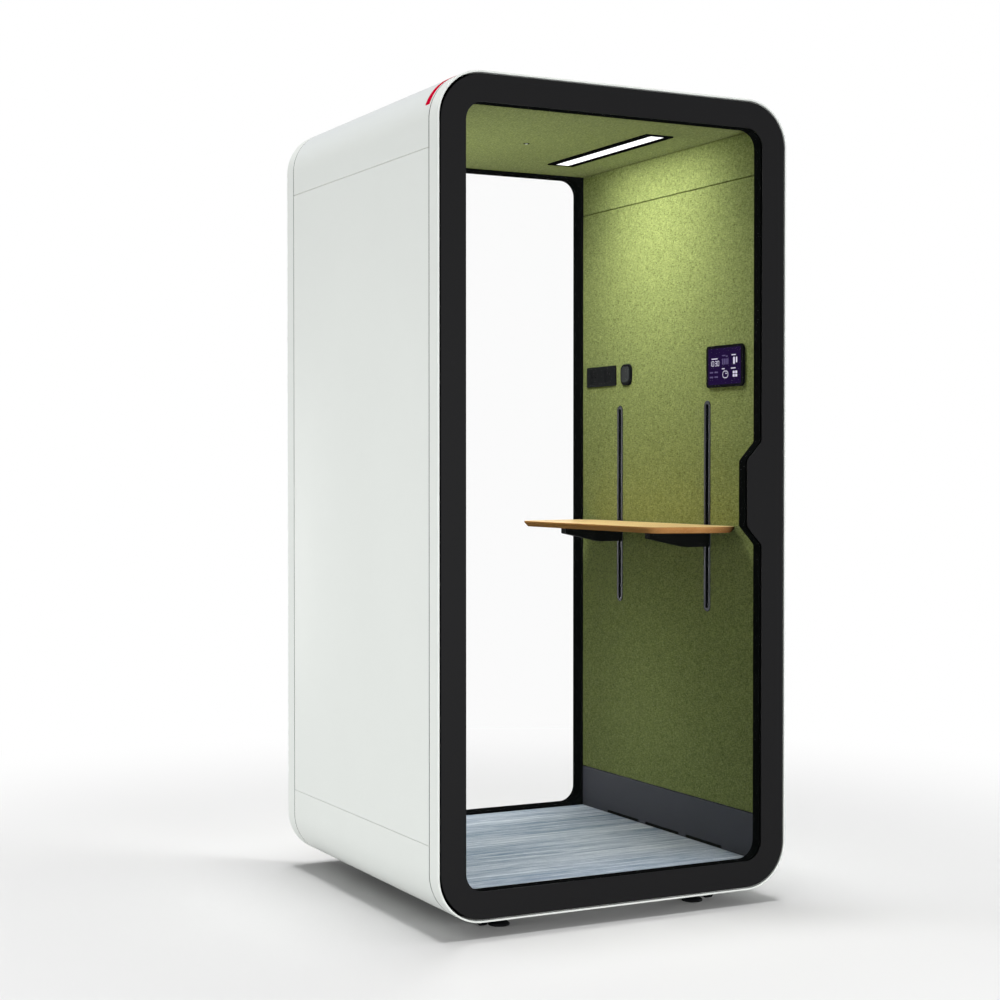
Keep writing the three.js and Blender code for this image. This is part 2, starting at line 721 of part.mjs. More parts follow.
// Welded ladder under the deck, bored for the feet, with ears and axles for the transport rollers.
function makeBaseFrame() {
  const low = BOTTOM + SKIN + FIT;
  const high = DECK_BOTTOM - FIT;
  const half = SIDE - CORNER_RADIUS - FIT;
  const end = SHELL_BACK - FIT;
  const rollerHalf = ROLLER_WIDTH / 2 + ROLLER_GAP;
  const members = [
    box([half - TUBE, half], [-end, end], [low, high]),
    box([-half, TUBE - half], [-end, end], [low, high]),
    box([-half, half], about(FOOT_Y, CROSS_TUBE / 2), [low, high]),
    box([-half, half], about(-FOOT_Y, CROSS_TUBE / 2), [low, high]),
    box([-half, half], about(0, TUBE / 2), [low, high]),
  ];
  const pockets = CORNERS.flatMap(([, x, y]) => [
    barZ(x * FOOT_X, y * FOOT_Y, STEM_RADIUS + RUNNING_GAP, [low - CUT, STEM_LENGTH + CUT]),
    box(
      about(x * ROLLER_X, rollerHalf),
      about(y * FOOT_Y, ROLLER_RADIUS + ROLLER_GAP),
      [low - CUT, ROLLER_Z + ROLLER_RADIUS + ROLLER_GAP]),
  ]);
  const ears = CORNERS.flatMap(([, x, y]) => [-1, 1].map((cheek) => box(
    about(x * ROLLER_X + cheek * (rollerHalf + ROLLER_CHEEK / 2), ROLLER_CHEEK / 2),
    about(y * FOOT_Y, ROLLER_EAR),
    [ROLLER_Z - ROLLER_EAR, low + CUT])));
  const axles = CORNERS.map(([, x, y]) => barX(
    y * FOOT_Y, ROLLER_Z, AXLE_RADIUS, about(x * ROLLER_X, rollerHalf + ROLLER_CHEEK)));
  return mesh('base_frame', join(cut(join(...members), ...pockets), ...ears, ...axles), STEEL);
}

// A levelling foot and a transport roller near each corner; the feet hold the rollers off the floor.
function makeSupports() {
  const shoulder = FOOT_PAD + FOOT_NECK;
  const profile = [
    [0, 0],
    [FOOT_RADIUS, 0],
    [FOOT_RADIUS, FOOT_PAD / 2],
    [FOOT_RADIUS - FOOT_PAD / 2, FOOT_PAD],
    [STEM_RADIUS + FOOT_NECK, FOOT_PAD],
    [STEM_RADIUS, shoulder],
    [STEM_RADIUS, STEM_LENGTH],
    [0, STEM_LENGTH],
  ];
  return group(...CORNERS.flatMap(([name, x, y]) => {
    const foot = mesh(`levelling_foot_${name}`, turned(profile), BLACK_PLASTIC);
    foot.position.set(x * FOOT_X, y * FOOT_Y, 0);
    const tread = withHoles(circle(ROLLER_RADIUS), circle(AXLE_RADIUS + RUNNING_GAP));
    const wheel = alongX(tread, -ROLLER_WIDTH / 2, ROLLER_WIDTH / 2, ROUND / 2);
    const roller = mesh(`roller_${name}`, wheel, BLACK_PLASTIC);
    roller.position.set(x * ROLLER_X, y * FOOT_Y, ROLLER_Z);
    return [foot, roller];
  }));
}

// Clear opening of the door: a rounded rectangle with a wide spot for the lock half way up the right edge.
function doorOpening() {
  const low = BOTTOM + OPENING_INSET;
  const high = HEIGHT - OPENING_INSET;
  const reach = OPENING_SIDE - LOCK_REACH;
  const lockLow = LOCK_Z - LOCK_LENGTH / 2;
  const lockHigh = LOCK_Z + LOCK_LENGTH / 2;
  return filleted([
    [-OPENING_SIDE, low, OPENING_RADIUS],
    [OPENING_SIDE, low, OPENING_RADIUS],
    [OPENING_SIDE, lockLow, LOCK_FILLET],
    [reach, lockLow + LOCK_SLOPE, LOCK_FILLET],
    [reach, lockHigh - LOCK_SLOPE, LOCK_FILLET],
    [OPENING_SIDE, lockHigh, LOCK_FILLET],
    [OPENING_SIDE, high, OPENING_RADIUS],
    [-OPENING_SIDE, high, OPENING_RADIUS],
  ]);
}

// Glazed door leaf inside the front ring, hung on two pins near its left edge.
function makeDoor() {
  const frameFront = FRONT + BEZEL + FIT;
  const glassBack = frameFront + GLASS;
  const leaf = () => withHoles(
    podOutline(LEAF_INSET, CORNER_RADIUS - LEAF_INSET, HINGE_SIDE_RADIUS), doorOpening());
  const notchHalf = ARM_HEIGHT / 2 + ARM_GAP;
  const pinHalf = ARM_HEIGHT / 2 + PIN_REACH + ARM_GAP;
  const armNotches = Object.values(HINGE_HEIGHTS).map((z) => box(
    [-SIDE, HINGE_X + ARM_INNER + ARM_GAP],
    [frameFront - CUT, LEAF_BACK + CUT],
    about(z, notchHalf)));
  const pinBores = Object.values(HINGE_HEIGHTS).map((z) => barZ(
    HINGE_X, HINGE_Y, PIN_RADIUS + RUNNING_GAP, about(z, pinHalf)));
  const frame = cut(
    alongY(leaf(), frameFront, LEAF_BACK),
    alongY(podOutline(GLASS_INSET - FIT), frameFront - CUT, glassBack + FIT),
    ...armNotches,
    ...pinBores,
  );
  const bezel = cut(alongY(leaf(), FRONT, FRONT + BEZEL), ...pinBores);
  const gasket = withHoles(podOutline(GASKET_INSET), podOutline(GASKET_INSET + GASKET_WIDTH));
  return group(
    mesh('door_frame', frame, BLACK_PAINT),
    mesh('door_bezel', bezel, BLACK_PAINT),
    mesh('door_glass', alongY(podOutline(GLASS_INSET), frameFront, glassBack), CLEAR_GLASS),
    mesh('door_gasket', alongY(gasket, LEAF_BACK + FIT, JAMB_FRONT - FIT), BLACK_RUBBER),
    mesh('door_pull', makePullGeometry(), BLACK_PAINT),
  );
}

// Bow handle on the inside of the lock's wide spot.
function makePullGeometry() {
  const near = LEAF_BACK + FIT;
  const far = LEAF_BACK + PULL_REACH;
  const low = LOCK_Z - PULL_LENGTH / 2;
  const high = LOCK_Z + PULL_LENGTH / 2;
  const innerRadius = PULL_RADIUS - PULL_BAR;
  const bow = filleted([
    [near, low, 0],
    [far, low, PULL_RADIUS],
    [far, high, PULL_RADIUS],
    [near, high, 0],
    [near, high - PULL_BAR, 0],
    [far - PULL_BAR, high - PULL_BAR, innerRadius],
    [far - PULL_BAR, low + PULL_BAR, innerRadius],
    [near, low + PULL_BAR, 0],
  ]);
  return alongX(bow, OPENING_SIDE - PULL_WIDTH, OPENING_SIDE);
}

// Hinge arms that reach from the jamb into the leaf's notches, and the magnet that holds the leaf shut.
function makeDoorFittings() {
  const back = JAMB_FRONT - FIT;
  const arms = Object.entries(HINGE_HEIGHTS).map(([name, z]) => {
    const height = about(z, ARM_HEIGHT / 2);
    const arm = join(
      barZ(HINGE_X, HINGE_Y, PIN_RADIUS, about(z, ARM_HEIGHT / 2 + PIN_REACH)),
      box([HINGE_X + ARM_OUTER, HINGE_X + ARM_INNER], [HINGE_Y, back], height),
      box(about(HINGE_X, ARM_PLATE_WIDTH / 2), [back - ARM_PLATE, back], height),
    );
    return mesh(`hinge_arm_${name}`, arm, STEEL);
  });
  const magnet = box(
    [SIDE - MAGNET_INSET - MAGNET_WIDTH, SIDE - MAGNET_INSET],
    [LEAF_BACK + MAGNET_GAP, back],
    about(LOCK_Z, MAGNET_HEIGHT / 2));
  return group(...arms, mesh('catch_magnet', magnet, BLACK_PLASTIC));
}

// Fixed rear window: frame, pane and the flat bezel that holds the pane from outside.
function makeRearWindow() {
  const frameBack = BACK - BEZEL - FIT;
  const glassFront = frameBack - GLASS;
  const border = () => withHoles(podOutline(RIM + FIT), podOutline(OPENING_INSET, OPENING_RADIUS));
  const frame = cut(
    alongY(border(), BACK - RING_DEPTH, frameBack),
    alongY(podOutline(GLASS_INSET - FIT), glassFront - FIT, frameBack + CUT),
  );
  return group(
    mesh('rear_frame', frame, BLACK_PAINT),
    mesh('rear_bezel', alongY(border(), BACK - BEZEL, BACK), BLACK_PAINT),
    mesh('rear_glass', alongY(podOutline(GLASS_INSET), glassFront, frameBack), CLEAR_GLASS),
  );
}

// Desk board seen from above, drawn in by inset on its three free edges.
function deskOutline(inset) {
  const wall = RAIL_FACE - CARRIAGE_GAP;
  const free = INNER_SIDE - DESK_DEPTH + inset;
  const wallHalf = DESK_WALL_HALF - inset;
  const freeHalf = wallHalf - DESK_TAPER;
  const outline = filleted([
    [free, -freeHalf, DESK_FREE_RADIUS],
    [wall, -wallHalf, DESK_WALL_RADIUS],
    [wall, wallHalf, DESK_WALL_RADIUS],
    [free, freeHalf, DESK_FREE_RADIUS],
  ]);
  return outline.getPoints(SMALL_ARC).slice(0, -1);
}

// Desk that slides up and down: board, brackets and the carriages inside the wall rails.
function makeDesk() {
  const board = lofted([
    [deskOutline(DESK_UNDERCUT), DESK_UNDERSIDE],
    [deskOutline(0), DESK_TOP - DESK_EDGE],
    [deskOutline(0), DESK_TOP],
  ]);
  const neckFace = RAIL_FACE - CARRIAGE_GAP;
  const root = neckFace - FIT;
  const arm = filleted([
    [root, BRACKET_TOP, 0],
    [root - BRACKET_REACH, BRACKET_TOP, 0],
    [root - BRACKET_REACH, BRACKET_TOP - BRACKET_TIP, 0],
    [root - BRACKET_BEND, BRACKET_TOP - BRACKET_DROP, 0],
    [root, BRACKET_TOP - BRACKET_DROP, 0],
  ]);
  const headFront = RAIL_FACE + RAIL_LIP + CARRIAGE_GAP;
  const headBack = RAIL_FACE + RAIL_LIP + RAIL_CAVITY_DEPTH - CARRIAGE_GAP;
  const height = [BRACKET_TOP - CARRIAGE_HEIGHT, BRACKET_TOP];
  const carriage = () => join(
    box([headFront, headBack], about(0, RAIL_CAVITY_WIDTH / 2 - CARRIAGE_GAP), height),
    box([neckFace, headFront + CUT], about(0, RAIL_SLOT / 2 - CARRIAGE_GAP), height),
  );
  const sides = RAIL_SIDES.flatMap(([name, y]) => {
    const support = alongY(arm, -BRACKET_WIDTH / 2, BRACKET_WIDTH / 2);
    const bracket = mesh(`desk_bracket_${name}`, support, BLACK_PAINT);
    const slider = mesh(`desk_carriage_${name}`, carriage(), BLACK_PLASTIC);
    bracket.position.y = y;
    slider.position.y = y;
    return [bracket, slider];
  });
  return group(mesh('desk_top', board, OAK), ...sides);
}

// Upright rails let into the right wall, each with a slot that opens into a wider cavity.
function makeRails() {
  const middle = RAIL_BOTTOM + RAIL_LENGTH / 2;
  const slotLength = RAIL_LENGTH - 2 * RAIL_END;
  const slot = roundedRectangle(0, middle, RAIL_SLOT, slotLength, RAIL_SLOT / 2);
  const cavityFront = RAIL_FACE + RAIL_LIP;
  return group(...RAIL_SIDES.map(([name, y]) => {
    const channel = cut(
      alongX(railOutline(0, 0), RAIL_FACE, INNER_SIDE + RAIL_DEPTH),
      alongX(slot, RAIL_FACE - CUT, cavityFront + CUT),
      box(
        [cavityFront, cavityFront + RAIL_CAVITY_DEPTH],
        about(0, RAIL_CAVITY_WIDTH / 2),
        about(middle, slotLength / 2)),
    );
    const rail = mesh(`desk_rail_${name}`, channel, ALUMINIUM);
    rail.position.y = y;
    return rail;
  }));
}

// Double socket, round-cornered push switch and touch screen in a row on the right wall.
function makeWallUnits() {
  return group(makeSockets(), ...makeSwitch(), ...makeScreen());
}

function makeSockets() {
  const plate = roundedRectangle(SOCKET_Y, UNIT_Z, SOCKET_WIDTH, SOCKET_HEIGHT, SOCKET_RADIUS);
  const plateFace = INNER_SIDE - FIT - SOCKET_PLATE;
  const outlets = [-1, 1].map((place) => box(
    [plateFace - CUT, plateFace + OUTLET_DEPTH],
    about(SOCKET_Y + place * OUTLET_PITCH / 2, OUTLET_SIZE / 2),
    about(UNIT_Z, OUTLET_SIZE / 2)));
  const body = join(
    alongX(plate, plateFace, INNER_SIDE - FIT),
    alongX(socketBoxOutline(0), plateFace + CUT, INNER_SIDE + SOCKET_BOX_DEPTH),
  );
  return mesh('socket_panel', cut(body, ...outlets), BLACK_PLASTIC);
}

function makeSwitch() {
  const face = INNER_SIDE - SWITCH_PROUD;
  const floor = INNER_SIDE + SWITCH_DEPTH - SWITCH_FLOOR;
  const bezel = cut(
    alongX(switchOutline(0), face, INNER_SIDE + SWITCH_DEPTH),
    alongX(switchOutline(-SWITCH_RIM), face - CUT, floor),
  );
  const buttonOutline = switchOutline(-SWITCH_RIM - BUTTON_GAP);
  const button = alongX(buttonOutline, face - BUTTON_PROUD, floor - BUTTON_TRAVEL - BUTTON_GAP);
  return [mesh('switch_bezel', bezel, BLACK_PLASTIC), mesh('switch_button', button, GREY_PLASTIC)];
}

function makeScreen() {
  const glassBack = INNER_SIDE - SCREEN_PROUD + SCREEN_GLASS;
  const face = roundedRectangle(SCREEN_Y, UNIT_Z, SCREEN_WIDTH, SCREEN_HEIGHT, SCREEN_RADIUS);
  const housing = alongX(screenBoxOutline(0), glassBack + FIT, INNER_SIDE + SCREEN_BOX_DEPTH);
  return [
    mesh('screen_housing', housing, BLACK_PLASTIC),
    mesh('screen_glass', alongX(face, INNER_SIDE - SCREEN_PROUD, glassBack), SCREEN_BLACK),
  ];
}

// Linear lamp let into the ceiling, with its diffuser, and the motion sensor in the middle of the ceiling.
function makeCeilingUnits() {
  const half = LAMP_WIDTH / 2;
  const end = LAMP_LENGTH / 2;
  const low = CEILING - LAMP_PROUD;
  const diffuserEnd = end - DIFFUSER_END;
  const housing = cut(
    join(
      box(about(LAMP_X, half), about(0, end), [low, CEILING - FIT]),
      box(
        about(LAMP_X, half - LAMP_BODY_MARGIN),
        about(0, end - LAMP_BODY_MARGIN),
        [CEILING - FIT - CUT, CEILING + LAMP_RISE]),
    ),
    box(
      about(LAMP_X, DIFFUSER_WIDTH / 2 + FIT),
      about(0, diffuserEnd + FIT),
      [low - CUT, low + DIFFUSER_DEPTH + FIT]),
  );
  const diffuser = box(about(LAMP_X, DIFFUSER_WIDTH / 2), about(0, diffuserEnd), [low, low + DIFFUSER_DEPTH]);
  const sensor = mesh('motion_sensor', turned([
    [0, -SENSOR_DROP],
    [SENSOR_RADIUS / 2, -SENSOR_DROP],
    [SENSOR_RADIUS, -SENSOR_DROP / 2],
    [SENSOR_RADIUS, -FIT],
    [SENSOR_STEM, -FIT],
    [SENSOR_STEM, SENSOR_STEM_LENGTH],
    [0, SENSOR_STEM_LENGTH],
  ]), OPAL);
  sensor.position.z = CEILING;
  return group(
    mesh('lamp_housing', housing, BLACK_PAINT),
    mesh('lamp_diffuser', diffuser, OPAL),
    sensor,
  );
}

// Slotted square plate about the origin.
function makeVentGeometry(from, to) {
  const slotLength = VENT_SIZE - 2 * VENT_MARGIN;
  const pitch = slotLength / (VENT_SLOTS - 1);
  const slots = Array.from({ length: VENT_SLOTS }, (_, i) => roundedRectangle(
    0, (i - (VENT_SLOTS - 1) / 2) * pitch, slotLength, VENT_SLOT_WIDTH, VENT_SLOT_WIDTH / 2));
  const plate = roundedRectangle(0, 0, VENT_SIZE, VENT_SIZE, VENT_RADIUS);
  return alongZ(withHoles(plate, ...slots), from, to, TINY_ARC);
}

// Exhaust fan in the roof between a grille in the ceiling and one in the roof.
function makeFan() {
  const floor = FAN_BOTTOM;
  const hubLow = floor + FAN_STRUT_HEIGHT + FIT;
  const bladeZ = hubLow + FAN_HUB_HEIGHT / 2;
  const frame = withHoles(roundedRectangle(0, 0, FAN_SIZE, FAN_SIZE, VENT_RADIUS), circle(FAN_BORE));
  const strut = [floor, floor + FAN_STRUT_HEIGHT];
  const reach = FAN_SIZE / 2 - CUT;
  const housing = join(
    alongZ(frame, floor, floor + FAN_HEIGHT, ROUND / 2),
    box(about(0, reach), about(0, FAN_STRUT / 2), strut),
    box(about(0, FAN_STRUT / 2), about(0, reach), strut),
    barZ(0, 0, FAN_BOSS, strut),
    barZ(0, 0, FAN_SHAFT, [floor, hubLow + FAN_SHAFT_LENGTH]),
  );
  const bladeFrom = FAN_HUB - FAN_BLADE_SHEET;
  const bladeTo = FAN_BORE - FAN_TIP_GAP;
  const blades = Array.from({ length: FAN_BLADES }, (_, i) => {
    const blade = new THREE.BoxGeometry(bladeTo - bladeFrom, FAN_BLADE_CHORD, FAN_BLADE_SHEET);
    blade.rotateX(THREE.MathUtils.degToRad(FAN_BLADE_PITCH));
    blade.translate((bladeFrom + bladeTo) / 2, 0, bladeZ);
    return blade.rotateZ((2 * Math.PI * i) / FAN_BLADES);
  });
  const rotor = cut(
    join(barZ(0, 0, FAN_HUB, [hubLow, hubLow + FAN_HUB_HEIGHT]), ...blades),
    barZ(0, 0, FAN_SHAFT + RUNNING_GAP, [hubLow - CUT, hubLow + FAN_SHAFT_LENGTH + RUNNING_GAP]),
  );
  const unit = group(
    mesh('fan_housing', housing, BLACK_PLASTIC),
    mesh('fan_rotor', rotor, BLACK_PLASTIC),
    mesh('ceiling_vent', makeVentGeometry(CEILING - VENT_PLATE, CEILING - FIT), BLACK_PLASTIC),
    mesh('roof_vent', makeVentGeometry(HEIGHT - SKIN, HEIGHT), WHITE_PAINT),
  );
  unit.position.set(FAN_X, FAN_Y, 0);
  return unit;
}

// Power unit in the roof, whose mains inlet comes up flush with the roof.
function makePowerUnit() {
  const top = HEIGHT - SKIN - FIT;
  const unit = cut(
    join(
      box(about(POWER_X, POWER_LENGTH / 2), about(POWER_Y, POWER_WIDTH / 2), [top - POWER_HEIGHT, top]),
      box(about(POWER_X, INLET_WIDTH / 2), about(POWER_Y, INLET_LENGTH / 2), [top - CUT, HEIGHT]),
    ),
    box(
      about(POWER_X, INLET_WIDTH / 2 - INLET_WALL),
      about(POWER_Y, INLET_LENGTH / 2 - INLET_WALL),
      [HEIGHT - INLET_DEPTH, HEIGHT + CUT]),
  );
  return mesh('power_unit', unit, BLACK_PLASTIC);
}

const pod = group(
  makeRings(),
  makeBaseShell(),
  makeRoofShell(),
  makeSidePanels(),
  makeWallCores(),
  makeRoofCore(),
  makeFelt(),
  makeFloor(),
  makeBaseFrame(),
  makeSupports(),
  makeDoor(),
  makeDoorFittings(),
  makeRearWindow(),
  makeDesk(),
  makeRails(),
  makeWallUnits(),
  makeCeilingUnits(),
  makeFan(),
  makePowerUnit(),
);

export default pod;
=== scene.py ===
"""Acoustic office pod: the look of every piece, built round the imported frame.

Sizes of pieces are millimetres in the part's own frame: +X is on the right of someone facing the
door, +Y runs from the door to the rear window, +Z is up from the floor. The studio is in metres.
"""

from __future__ import annotations

import json
import logging
import math
from abc import ABC, abstractmethod
from dataclasses import dataclass, replace
from enum import Enum
from typing import Any, Iterable, Mapping, Optional, Sequence, Union

import bmesh
import bpy
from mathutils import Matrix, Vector

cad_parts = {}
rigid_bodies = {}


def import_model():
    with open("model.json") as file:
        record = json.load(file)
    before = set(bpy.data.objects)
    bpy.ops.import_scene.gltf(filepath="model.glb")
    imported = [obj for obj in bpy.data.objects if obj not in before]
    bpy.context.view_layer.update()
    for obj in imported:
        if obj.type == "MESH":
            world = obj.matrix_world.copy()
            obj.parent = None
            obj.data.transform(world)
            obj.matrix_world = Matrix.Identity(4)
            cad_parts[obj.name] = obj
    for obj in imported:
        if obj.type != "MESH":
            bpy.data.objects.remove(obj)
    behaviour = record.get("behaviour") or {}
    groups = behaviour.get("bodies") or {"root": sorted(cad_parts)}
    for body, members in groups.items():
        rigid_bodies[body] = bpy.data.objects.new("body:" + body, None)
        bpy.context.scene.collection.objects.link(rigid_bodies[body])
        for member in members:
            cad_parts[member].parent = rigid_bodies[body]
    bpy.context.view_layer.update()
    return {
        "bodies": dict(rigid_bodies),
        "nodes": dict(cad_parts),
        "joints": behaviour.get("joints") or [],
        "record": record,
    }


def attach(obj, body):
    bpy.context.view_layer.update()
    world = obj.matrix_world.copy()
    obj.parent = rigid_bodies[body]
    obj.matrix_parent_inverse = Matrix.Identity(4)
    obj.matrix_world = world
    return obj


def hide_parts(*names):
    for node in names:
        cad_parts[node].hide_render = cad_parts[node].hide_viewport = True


Point = tuple[float, float]
Span = tuple[float, float]
Corner = tuple[float, float, float]
Box = tuple[float, float, float, float]
Colour = tuple[float, float, float, float]
Outline = list[Point]
Edge = Sequence[Point]
Ring = list[bmesh.types.BMVert]

LOG = logging.getLogger("pod")
WHITE = (1.0, 1.0, 1.0, 1.0)
SIDES = (("left", -1), ("right", 1))
MM = 0.001
FIT = 0.3  # gap round a piece that is let into another
SPLIT = 0.05  # gap between two plates of one piece
SHARP = 38.0  # degrees between two faces past which their edge is sharp


class Axis(Enum):
    """Direction in which a flat outline is drawn out into a plate."""

    X = "x"
    Y = "y"
    Z = "z"

    def place(self, u: float, v: float, w: float) -> Vector:
        """Turn a point of an outline and its depth, in millimetres, into a point in metres."""
        spots = {Axis.X: (w, u, v), Axis.Y: (u, w, v), Axis.Z: (u, v, w)}
        return Vector(spots[self]) * MM


class Lay(Enum):
    """How a woven surface lies, which sets the way its threads run."""

    WALL = "wall"
    CEILING = "ceiling"

    def stretched(self, along: float, across: float, other: float) -> Corner:
        """Scales for a pattern that is long in the surface's level direction."""
        return (other, along, across) if self is Lay.WALL else (across, along, other)


def srgb(red: float, green: float, blue: float) -> Colour:
    """Turn a colour given as 0 to 255 a channel into the linear one that sockets take.

    Args:
        red: Red channel.
        green: Green channel.
        blue: Blue channel.

    Returns:
        The linear colour with full alpha.
    """
    shares = [channel / 255 for channel in (red, green, blue)]
    lines = [s / 12.92 if s <= 0.04045 else ((s + 0.055) / 1.055) ** 2.4 for s in shares]
    return (lines[0], lines[1], lines[2], 1.0)


def shaded(colour: Colour, factor: float) -> Colour:
    """Make a colour lighter or darker by a factor."""
    red, green, blue = (min(1.0, channel * factor) for channel in colour[:3])
    return (red, green, blue, 1.0)


def filleted(corners: Sequence[Corner], step: float = 6.0) -> Outline:
    """Round the corners of a polygon.

    Args:
        corners: Place and fillet radius of each corner, in order.
        step: Largest turn between two points of a fillet, in degrees.

    Returns:
        The closed outline, without repeated points.
    """
    points: Outline = []
    for index, (u, v, radius) in enumerate(corners):
        if radius <= 0:
            points.append((u, v))
            continue
        here = Vector((u, v))
        before = (Vector(corners[index - 1][:2]) - here).normalized()
        after = (Vector(corners[(index + 1) % len(corners)][:2]) - here).normalized()
        half = before.angle(after) / 2
        centre = here + (before + after).normalized() * (radius / math.sin(half))
        start = here + before * (radius / math.tan(half)) - centre
        end = here + after * (radius / math.tan(half)) - centre
        first = math.atan2(start.y, start.x)
        turn = math.atan2(start.x * end.y - start.y * end.x, start.dot(end))
        steps = max(2, math.ceil(abs(math.degrees(turn)) / step))
        for count in range(steps + 1):
            at = first + turn * count / steps
            points.append((centre.x + radius * math.cos(at), centre.y + radius * math.sin(at)))
    return [p for i, p in enumerate(points) if math.dist(p, points[i - 1]) > 1e-4]


def rounded(u: float, v: float, width: float, height: float, radius: float) -> Outline:
    """Outline of a rectangle with rounded corners, about its middle, counter-clockwise."""
    ways = ((-1, -1), (1, -1), (1, 1), (-1, 1))
    return filleted([(u + a * width / 2, v + b * height / 2, radius) for a, b in ways])


def fitted(u: float, v: float, width: float, height: float, radius: float) -> Outline:
    """Outline of the hole that takes a rounded rectangle with the usual gap."""
    return rounded(u, v, width + 2 * FIT, height + 2 * FIT, radius + FIT)


def circle(u: float, v: float, radius: float, count: int = 48) -> Outline:
    """Outline of a circle about a point."""
    turns = [2 * math.pi * index / count for index in range(count)]
    return [(u + radius * math.cos(turn), v + radius * math.sin(turn)) for turn in turns]


def drawn_in(outline: Outline, distance: float) -> Outline:
    """Move an outline towards its inside, or outwards where the distance is negative.

    Args:
        outline: Closed outline.
        distance: How far each edge moves.

    Returns:
        The moved outline, with as many points.
    """
    count = len(outline)
    pairs = [(outline[index - 1], outline[index]) for index in range(count)]
    side = math.copysign(1.0, sum(a[0] * b[1] - b[0] * a[1] for a, b in pairs))
    moved: Outline = []
    for index, here in enumerate(outline):
        before, after = outline[index - 1], outline[(index + 1) % count]
        first = Vector((before[1] - here[1], here[0] - before[0])).normalized() * side
        second = Vector((here[1] - after[1], after[0] - here[0])).normalized() * side
        shift = (first + second) * (distance / max(0.2, 1 + first.dot(second)))
        moved.append((here[0] + shift.x, here[1] + shift.y))
    return moved


def round_edge(radius: float, steps: int = 3) -> Edge:
    """Profile of a rounded edge, in a few facets, as inset and depth from the face to the wall."""
    turns = [math.pi / 2 * index / steps for index in range(steps + 1)]
    return [(radius * (1 - math.sin(turn)), radius * (1 - math.cos(turn))) for turn in turns]


def across(side: int, near: float, far: float) -> Span:
    """Range along X between two distances from the middle, on the left or the right."""
    return (near, far) if side > 0 else (-far, -near)


SQUARE: Edge = [(0.0, 0.0)]
HAIR = round_edge(0.3, steps=1)
SLIM = round_edge(0.4, steps=2)
GROUND = round_edge(0.5, steps=1)
FINE = round_edge(0.5, steps=2)
TRIM = round_edge(0.8)
SOFT = round_edge(1.0)
EASED = round_edge(1.2)
FULL = round_edge(1.5)


def crisp(source: bmesh.types.BMesh, name: str, sharp: float = SHARP) -> bpy.types.Mesh:
    """Write a working mesh out, smooth between its sharp edges, and free it.

    Args:
        source: The working mesh.
        name: Name of the mesh that is made.
        sharp: Angle past which an edge is sharp, in degrees.

    Returns:
        The mesh.
    """
    for edge in source.edges:
        if len(edge.link_faces) == 2 and edge.calc_face_angle(0.0) > math.radians(sharp):
            edge.smooth = False
    for face in source.faces:
        face.smooth = True
    mesh = bpy.data.meshes.new(name)
    source.to_mesh(mesh)
    source.free()
    return mesh


def linked(name: str, data: bpy.types.ID) -> bpy.types.Object:
    """Put an object of a mesh, a lamp or a camera into the scene.

    Args:
        name: Name of the object.
        data: What it shows.

    Returns:
        The object.
    """
    item = bpy.data.objects.new(name, data)
    bpy.context.scene.collection.objects.link(item)
    return item


def evaluated(item: bpy.types.Object) -> bpy.types.Mesh:
    """Turn what an object's modifiers make into a plain mesh."""
    graph = bpy.context.evaluated_depsgraph_get()
    return bpy.data.meshes.new_from_object(item.evaluated_get(graph))


